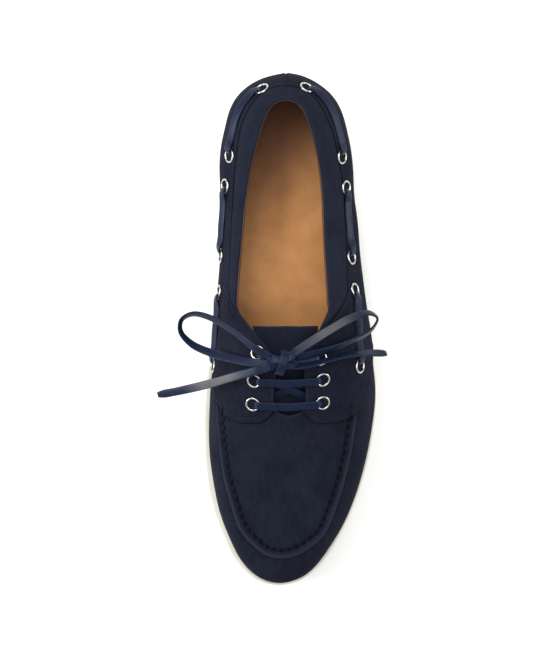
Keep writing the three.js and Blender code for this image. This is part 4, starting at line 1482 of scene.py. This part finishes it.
@dataclass(frozen=True)
class Laces:
    """The lace along the collar, through the side eyelets and across the throat."""

    upper: Upper
    lean: float = 0.35          # how far the lace's face leans from the suede's normal to level
    bar_bow: float = 1.2        # how far a bar's middle lies towards the toe from its ends

    def lift(self, end: Array) -> Array:
        """Height of the lace's middle over the suede, by distance from its eyelet's middle.

        It comes up out of the throat, over the rolled flange and down on to the suede.
        """
        return column(*LACE_LIFT.T)(end)

    def breadth(self, end: Array) -> Array:
        """The lace's width, drawn in where it passes the hole."""
        return WIDTH * (0.78 + 0.22 * smooth(1.0, 5.0, end))

    def run(self, side: Side, first: EyeletPlace, last: EyeletPlace) -> Shell:
        """One visible stretch from eyelet to eyelet, straight in station and level."""
        form = self.upper.last
        _, station, level = form.locate(*np.array([first.at(side), last.at(side)]).T)
        t = np.linspace(0, 1, 120)
        sides = np.full(len(t), float(side.value))
        places = form.places(sides, station[0] + (station[1] - station[0]) * t,
                             level[0] + (level[1] - level[0]) * t)
        run = runs(places.points)
        end = np.minimum(run, run[-1] - run)
        drift = 0.25 * np.sin(run / 7.0 + side.value) + 0.12 * np.sin(run / 2.9)
        lift = self.lift(end) + drift * smooth(6, 12, end)
        points = self.upper.on_skin(places, lift)
        lean = self.lean * smooth(2, 9, end)[:, None]
        normals = unit(places.normals * (1 - lean) + UP * lean)
        return strap(points, normals, self.breadth(end), THICK)

    def bar(self, place: EyeletPlace) -> Shell:
        """A bar across the throat: out of one eyelet, over the facings and into the other."""
        left, right = np.array(place.medial), np.array(place.lateral)
        t = np.linspace(0, 1, 110)
        spots = left + (right - left) * t[:, None]
        length = np.linalg.norm(right - left)
        end = np.minimum(t, 1 - t) * length
        along = spots[:, 1] + self.bar_bow * np.sin(np.pi * t)
        places = self.upper.last.plan_places(spots[:, 0], along)
        height = self.lift(end) + 0.6 * smooth(8, 14, end)
        points = places.points + places.normals * (height + 0.55)[:, None]
        steady = np.apply_along_axis(evened, 0, points, 4)
        return strap(steady, places.normals, self.breadth(end), THICK)

    def crossing(self) -> Shell:
        """Two strands crossed on the tongue, one a thickness above the other."""
        strands = []
        for start, stop, depth in ((174.5, 186.0, -3.0), (186.0, 174.5, -4.0)):
            t = np.linspace(0, 1, 60)
            across = -15 + 26 * t
            places = self.upper.last.plan_places(across, start + (stop - start) * t)
            points = places.points + places.normals * (depth + 0.3 * np.sin(np.pi * t))[:, None]
            strands.append(strap(points, places.normals, WIDTH, 1.0))
        return joined(strands)

    def build(self) -> None:
        """Makes each stretch of lace that the eyelets hold."""
        leather = LaceLeather().material()
        pairs = {"lace_heel": (0, 1), "lace_quarter": (2, 3), "lace_facing": (4, 5)}
        for name, (first, last) in pairs.items():
            for side in Side:
                node = f"{name}_{side.name.lower()}"
                make_object(f"{node}_strap", self.run(side, EYELETS[first], EYELETS[last]),
                            leather, Slot.LACE, node)
        for node, place in (("lace_bar_upper", EYELETS[7]), ("lace_bar_lower", EYELETS[8])):
            make_object(f"{node}_strap", self.bar(place), leather, Slot.LACE, node)
        make_object("lace_crossing_strap", self.crossing(), leather, Slot.LACE, "lace_crossing")


class Tail(Enum):
    """What a free length of the bow ends in."""

    LOOP = "object"
    CUT = "bare"


@dataclass(frozen=True)
class FreeLace:
    """A free length of the bow: rows of across, along, height and roll about its run.

    It carries a painted sheen between two shares of its run, and none when both come before its start.
    """

    name: str
    tail: Tail
    rows: tuple[tuple[float, float, float, float], ...]
    sheen: tuple[float, float] = (-1.0, -0.5)

    def path(self) -> tuple[Array, Array]:
        """The lace's middle, smooth through its rows, and its rolled outward directions."""
        rows = np.array(self.rows)
        points = through(rows[:, :3], FREE_STEPS)
        place = np.arange(len(points)) / FREE_STEPS
        roll = np.radians(np.interp(place, np.arange(len(rows)), rows[:, 3]))
        soft = evened(roll, 6)[:, None]
        way = unit(np.gradient(points, axis=0))
        level = unit(UP - way * way[:, 2:])
        return points, level * np.cos(soft) + np.cross(way, level) * np.sin(soft)

    def build(self, leather: bpy.types.Material) -> None:
        points, turned = self.path()
        run = runs(points)
        width = WIDTH * (1 + 0.03 * np.sin(run / 6.0))
        if self.tail is Tail.CUT:
            width = width * (1 - 0.25 * smooth(run[-1] - 5.0, run[-1], run))
        shell = strap(points, turned, width, THICK)
        # The painted sheen, a lighter grey between the two shares of the run.
        share = shell.marks["run"] / run[-1]
        start, stop = self.sheen
        shell.marks["sheen"] = (smooth(start - 0.1, start + 0.1, share)
                                * (1 - smooth(stop - 0.1, stop + 0.1, share)))
        piece = make_object(f"{self.name}_strap", shell, leather, Slot.LACE, self.name)
        route = to_frame(points)


LOOP_MEDIAL = (
    (-13.5, 161.2, 79.7, 35), (-22, 156.2, 78.2, 40), (-33.5, 146.9, 72.2, 50),
    (-46, 139.3, 64.8, 55), (-56.5, 136.8, 57.8, 60), (-62.8, 140.1, 53.3, 68),
    (-63.3, 146.4, 50.8, 62), (-57.4, 153.2, 51.8, 42), (-46.8, 158.3, 56.3, 22),
    (-34.4, 161.8, 66.3, 12), (-22, 164.2, 73.5, 8), (-13.8, 164.2, 75.3, 5),
)
LOOP_LATERAL = (
    (-1.2, 159, 81, 10), (7.6, 153, 80, 5), (20.3, 145.2, 74.6, 10),
    (32.3, 138.8, 67.3, 25), (42.3, 136.1, 61.8, 60), (46.8, 139.2, 58.8, 90),
    (43.5, 145.5, 57.2, 70), (33.6, 151.3, 61.8, 60), (20.5, 156.3, 72.2, 45),
    (8.7, 159.3, 77.2, 30), (0.4, 160.8, 77.8, 20),
)
END_MEDIAL = (
    (-13.5, 166, 79.4, 5), (-20.2, 168.1, 78, 0), (-31.6, 171.1, 71.2, -5),
    (-43, 174.5, 63.2, 0), (-54.6, 177.6, 54.8, 5), (-66.2, 180.2, 46.8, 8),
    (-76, 182, 40.8, 10),
)
END_LATERAL = (
    (-0.2, 166.4, 79.4, 50), (6.7, 165.5, 78.4, 58), (18.4, 162.4, 74, 62),
    (30.4, 159.8, 67.6, 62), (41.5, 158.6, 60.4, 50), (52.1, 158.6, 53, 30),
)


# The knot's turns: one over the top, the two that carry loops and ends under it, and its core.
KNOT_TURNS = (
    ((-9.6, 169.8, 74.6), (-9.2, 170.5, 77.4), (-8.2, 168.4, 80.6), (-6.9, 164.6, 82.3),
     (-6.0, 160.6, 82.0), (-5.4, 157.8, 79.6), (-5.6, 158.0, 76.2)),
    ((-15.0, 160.8, 79.5), (-11.5, 162.0, 80.3), (-7.0, 162.3, 80.8), (-2.8, 160.6, 81.1),
     (0.6, 158.0, 81.0)),
    ((-15.0, 166.5, 79.0), (-11.0, 165.4, 79.8), (-7.0, 165.1, 80.2), (-3.2, 165.9, 79.9),
     (1.4, 166.3, 79.2)),
    ((-13.0, 164.0, 75.6), (-9.5, 163.4, 77.2), (-6.0, 163.0, 77.5), (-1.0, 161.0, 77.6)),
)


@dataclass(frozen=True)
class Bow:
    """The tied bow: two loops, two cut ends and the knot that holds them."""

    middle: tuple[float, float, float] = (-7.0, 163.4, 78.6)

    def free_lengths(self) -> tuple[FreeLace, ...]:
        """The four free lengths, in the order the knot is tied."""
        return (
            FreeLace("lace_loop_medial", Tail.LOOP, LOOP_MEDIAL),
            FreeLace("lace_loop_lateral", Tail.LOOP, LOOP_LATERAL, (0.10, 0.32)),
            FreeLace("lace_end_medial", Tail.CUT, END_MEDIAL, (0.28, 0.68)),
            FreeLace("lace_end_lateral", Tail.CUT, END_LATERAL),
        )

    def wrap(self, rows: Sequence[tuple[float, float, float]]) -> Shell:
        """A turn of lace about the knot: its broad face looks away from the knot's middle."""
        points = through(rows, 12)
        way = unit(np.gradient(points, axis=0))
        away = points - np.array(self.middle)
        face = unit(away - way * (away * way).sum(1, keepdims=True))
        return strap(points, face, WIDTH, THICK * 0.95)

    def knot(self) -> Shell:
        """The knot, as all its turns."""
        return joined([self.wrap(rows) for rows in KNOT_TURNS])

    def feeders(self, upper: Upper) -> Shell:
        """The two strands that come up from the foremost pair of top eyelets to the knot."""
        strands = []
        for side, target in ((Side.MEDIAL, (-9.5, 163.8, 75.6)), (Side.LATERAL, (-4.0, 163.8, 75.6))):
            across, along = EYELETS[6].at(side)
            places = upper.last.plan_places(np.array([across]), np.array([along]))
            base = upper.on_skin(places, -1.2)[0]
            normal = places.normals[0]
            toward = unit(np.array(target) - base)
            rows = (base, base + normal * 2.6 + toward * 1.4, base + normal * 3.1 + toward * 4.6,
                    0.5 * (base + np.array(target)) + np.array([0, 0, 1.2]), np.array(target))
            points = through(np.array(rows), 12)
            strands.append(strap(points, unit(normal + UP)[None].repeat(len(points), 0), 4.2, THICK))
        return joined(strands)

    def build(self, upper: Upper) -> None:
        """Makes the free lengths first, then the knot with the strands that feed it."""
        leather = LaceLeather("navy_bow_leather").material()
        for length in self.free_lengths():
            length.build(leather)
        make_object("lace_knot_turns", joined([self.knot(), self.feeders(upper)]), leather,
                    Slot.LACE, "lace_knot")


# ---------------------------------------------------------------- stitching

@dataclass(frozen=True)
class Stitching:
    """Rows of stitches: the waxed thread of the raised seam and the fine rows by the edges.

    A stitch has a length, a width and a height. A gap is from one fine stitch to the next.
    """

    upper: Upper
    thick: tuple[float, float, float] = (3.5, 1.45, 0.9)
    thick_lift: float = 0.3
    bare: float = 9.0           # of the raised seam at each end, with no thick stitches
    fine: tuple[float, float, float] = (2.1, 0.55, 0.4)
    fine_lift: float = 0.12
    gap: float = 2.7
    tack_gap: float = 2.4
    inset: float = 2.2          # of the row behind the facings' front edge
    slot_inset: float = 2.4     # of the rows beside the throat's slot
    band_inset: float = 1.5     # of the row along the collar band's seam

    def bead(self, long: float, wide: float, high: float) -> tuple[Array, Array]:
        """One stitch as a flattened spindle of four rings of eight points, along X."""
        x = np.array([-1, -0.82, -0.35, 0.35, 0.82, 1]) * long / 2
        girth = np.array([0, 0.62, 1, 1, 0.62, 0])
        arch = np.array([-0.75, -0.2, 0.12, 0.12, -0.2, -0.75]) * high
        turn = np.linspace(0, 2 * np.pi, 8, endpoint=False)
        points = np.stack((np.repeat(x[:, None], 8, 1), girth[:, None] * np.cos(turn) * wide / 2,
                           arch[:, None] + girth[:, None] * np.sin(turn) * high / 2), -1)
        return points.reshape(-1, 3), grid_faces(6, 8, wrap_columns=True)

    def row(self, places: Places, ways: Array, size: tuple[float, float, float],
            lift: float) -> Shell:
        """A bead at each place, turned along its way.

        Args:
            places: where the stitches lie.
            ways: (n, 3) directions along the stitches.
            size: length, width and height of a stitch.
            lift: how far the middle stands over the suede.

        Returns:
            All the stitches as one shell.
        """
        first = unit(ways - places.normals * (ways * places.normals).sum(1, keepdims=True))
        middles = self.upper.on_skin(places, lift)
        return copies(*self.bead(*size), middles, places.normals, first, {})

    def along_plan(self, curve: Array, gap: float) -> Shell:
        """A row of fine stitches end to end along a plan curve."""
        surface = self.upper.last.plan_places(*evenly(curve, 0.5).T)
        run = runs(surface.points)
        count = max(2, int(run[-1] / gap))
        at = (np.arange(count) + 0.5) * run[-1] / count
        spots = sampled(surface.points[:, :2], run, at)
        ways = sampled(surface.points, run, at + 0.4) - sampled(surface.points, run, at - 0.4)
        return self.row(self.upper.last.plan_places(*spots.T), ways, self.fine, self.fine_lift)

    def offset(self, curve: Array, by: float) -> Array:
        """A plan curve moved sideways, to the left of its run."""
        way = unit(np.gradient(curve, axis=0))
        return curve + np.stack((-way[:, 1], way[:, 0]), 1) * by

    def seam_thread(self) -> Shell:
        """The thick stitches that draw the plug to the wall, laid along the raised seam."""
        ridge = self.upper.ridge[:, :2]
        run = runs(self.upper.ridge)
        at = np.arange(0.5, run[-1] / self.upper.pitch) * self.upper.pitch
        at = at[(at > self.bare) & (at < run[-1] - self.bare)]
        plan_places = self.upper.last.plan_places
        places = plan_places(*sampled(self.offset(ridge, -self.upper.thread_line), run, at).T)
        outward = unit(plan_places(*sampled(ridge, run, at).T).points - places.points)
        ways = unit(np.gradient(places.points, axis=0)) + 0.3 * outward
        return self.row(places, ways, self.thick, self.thick_lift)

    def facing_edge(self, back: float, side: Side) -> Array:
        """The plan curve a distance back from the facings' front edge, from slot to wall."""
        middle = float(self.upper.last.spine(np.array(190.0)))
        first = 13.5 if side is Side.LATERAL else 13.0
        off = np.linspace(first, 39.0, 60)
        across = middle + side.value * off
        along = np.full(len(off), 193.0)
        for _ in range(6):
            points = self.upper.last.plan_places(across, along).points
            fall = off + np.maximum(self.upper.last.crest(along) - points[:, 2], 0)
            steep = np.minimum(np.abs(self.upper.front_slope(fall)), 1.5)
            along = self.upper.front(fall) - back * np.sqrt(1 + steep ** 2)
        return np.stack((across, along), 1)

    def slot_edge(self, inside: float, side: Side) -> Array:
        """The plan curve a distance out from the mouth's edge beside the throat's slot."""
        column_of = 2 if side is Side.LATERAL else 1
        rows = MOUTH[6:]
        curve = through(np.stack((rows[:, column_of], rows[:, 0]), 1), 12)
        moved = self.offset(curve, -inside * side.value)
        return moved[(moved[:, 1] > 137) & (moved[:, 1] < 189)]

    def side_tacks(self, side: Side) -> list[Array]:
        """Plan curves of the two short rows that close the side where the raised seam ends."""
        near, far = ((32.8, 37.4) if side is Side.LATERAL else (-39.6, -43.4))
        lean = 3.2 * side.value
        return [np.array([(near, 191.5), (near + 0.6 * lean, 180.0), (near + lean, 169.5)]),
                np.array([(far, 188.5), (far + 0.5 * lean, 179.0), (far + 0.8 * lean, 170.5)])]

    def build(self) -> None:
        """Makes the thick seam thread and the fine rows, each as one object."""
        # Near-black: the thread's own dark colour, with painted shade from the stitch holes it lies in.
        waxed = Thread("waxed_seam_thread", (0.0018, 0.0022, 0.0048), (0.0050, 0.0058, 0.0110),
                       matt=0.85, gloss=0.12)
        make_object("seam_thread", self.seam_thread(), waxed.material(), Slot.SUEDE)
        rows = []
        for side in Side:
            rows.append(self.along_plan(self.facing_edge(self.inset, side), self.gap))
            rows.append(self.along_plan(self.slot_edge(self.slot_inset, side), self.gap))
            rows.extend(self.along_plan(tack, self.tack_gap) for tack in self.side_tacks(side))
        band = self.offset(self.upper.band[:, :2], -self.band_inset)
        rows.append(self.along_plan(band, self.gap))
        navy = Thread("navy_thread", (0.0050, 0.0060, 0.0125), (0.0105, 0.0120, 0.0215))
        make_object("edge_stitches", joined(rows), navy.material(), Slot.SUEDE)


# ---------------------------------------------------------------- studio

def aimed(place: Sequence[float], target: Sequence[float], level: Sequence[float]) -> Matrix:
    """How a camera or lamp stands at a place and looks at a target, its X square to level."""
    back = unit(np.array(place) - np.array(target))
    right = unit(np.cross(level, back))
    rows = np.column_stack((right, np.cross(back, right), back, place))
    return Matrix([*rows.tolist(), [0.0, 0.0, 0.0, 1.0]])


@dataclass(frozen=True)
class Studio:
    """The pale floor, the soft light and the camera above the shoe."""

    eye: tuple[float, float, float] = (-0.074, -0.023, 2.0)
    target: tuple[float, float, float] = (-0.0105, 0.0005, 0.030)
    lens: float = 190.0
    sensor: float = 36.0

    def tone(self) -> None:
        """Plain colours, with no film curve."""
        bpy.context.scene.view_settings.view_transform = "Standard"

    def camera(self) -> None:
        """A long lens nearly straight above, with the heel towards the top of the frame."""
        data = bpy.data.cameras.new("camera")
        data.lens = self.lens
        data.sensor_width = self.sensor
        data.clip_end = 20.0
        eye = linked("camera", data)
        eye.matrix_world = aimed(self.eye, self.target, (0.0, 1.0, 0.0))
        bpy.context.scene.camera = eye

    def area(self, name: str, place: tuple[float, float, float], size: float, watts: float,
             tint: Colour = (1.0, 1.0, 1.0)) -> None:
        """A square soft light aimed at the shoe."""
        data = bpy.data.lights.new(name, "AREA")
        data.shape, data.size, data.energy, data.color = "SQUARE", size, watts, tint
        linked(name, data).matrix_world = aimed(place, (0.0, 0.0, 0.0), (0.0, 1.0, 0.01))

    def lights(self) -> None:
        """Broad lights overhead and behind, a low one on each side for the laces' sheen, a surround."""
        self.area("overhead", (0.1, 0.1, 1.9), 1.6, 16.0)
        self.area("heel_medial", (-0.75, 0.95, 1.55), 1.1, 22.0, (1.0, 0.985, 0.965))
        self.area("low_medial", (-1.5, -0.1, 0.62), 0.6, 17.0)
        self.area("low_lateral", (1.5, 0.1, 0.7), 0.6, 11.0)
        world = bpy.data.worlds.new("surround")
        world.use_nodes = True
        background = world.node_tree.nodes["Background"]
        background.inputs["Color"].default_value = (1.0, 1.0, 1.0, 1.0)
        background.inputs["Strength"].default_value = 0.6
        bpy.context.scene.world = world

    def floor(self) -> None:
        """A wide flat sheet just under the sole."""
        mesh = bpy.data.meshes.new("floor")
        half = 3.0
        corners = [(-half, -half, 0), (half, -half, 0), (half, half, 0), (-half, half, 0)]
        mesh.from_pydata(corners, [], [(0, 1, 2, 3)])
        mesh.materials.append(Paper().material())
        linked("floor", mesh)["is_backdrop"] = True


def corners(box: tuple) -> list[list[float]]:
    """A box's two corners as plain lists."""
    return [[float(v) for v in corner] for corner in box]


def main() -> None:
    """Builds the camera and the cords, then every other piece, and works out the two sizes."""
    logging.basicConfig(level=logging.INFO, format="%(message)s")
    studio = Studio()
    studio.camera()
    studio.tone()
    last = Last()
    upper = Upper(last)
    Bow().build(upper)
    for part in (upper, Tongue(last), Footbed(last), Sole(last), Eyelets(upper), Laces(upper),
                 Stitching(upper)):
        part.build()
    studio.lights()
    studio.floor()
    {"cad": corners(CAD_BOX), "visual": corners(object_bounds())}


if __name__ == "__main__":
    main()
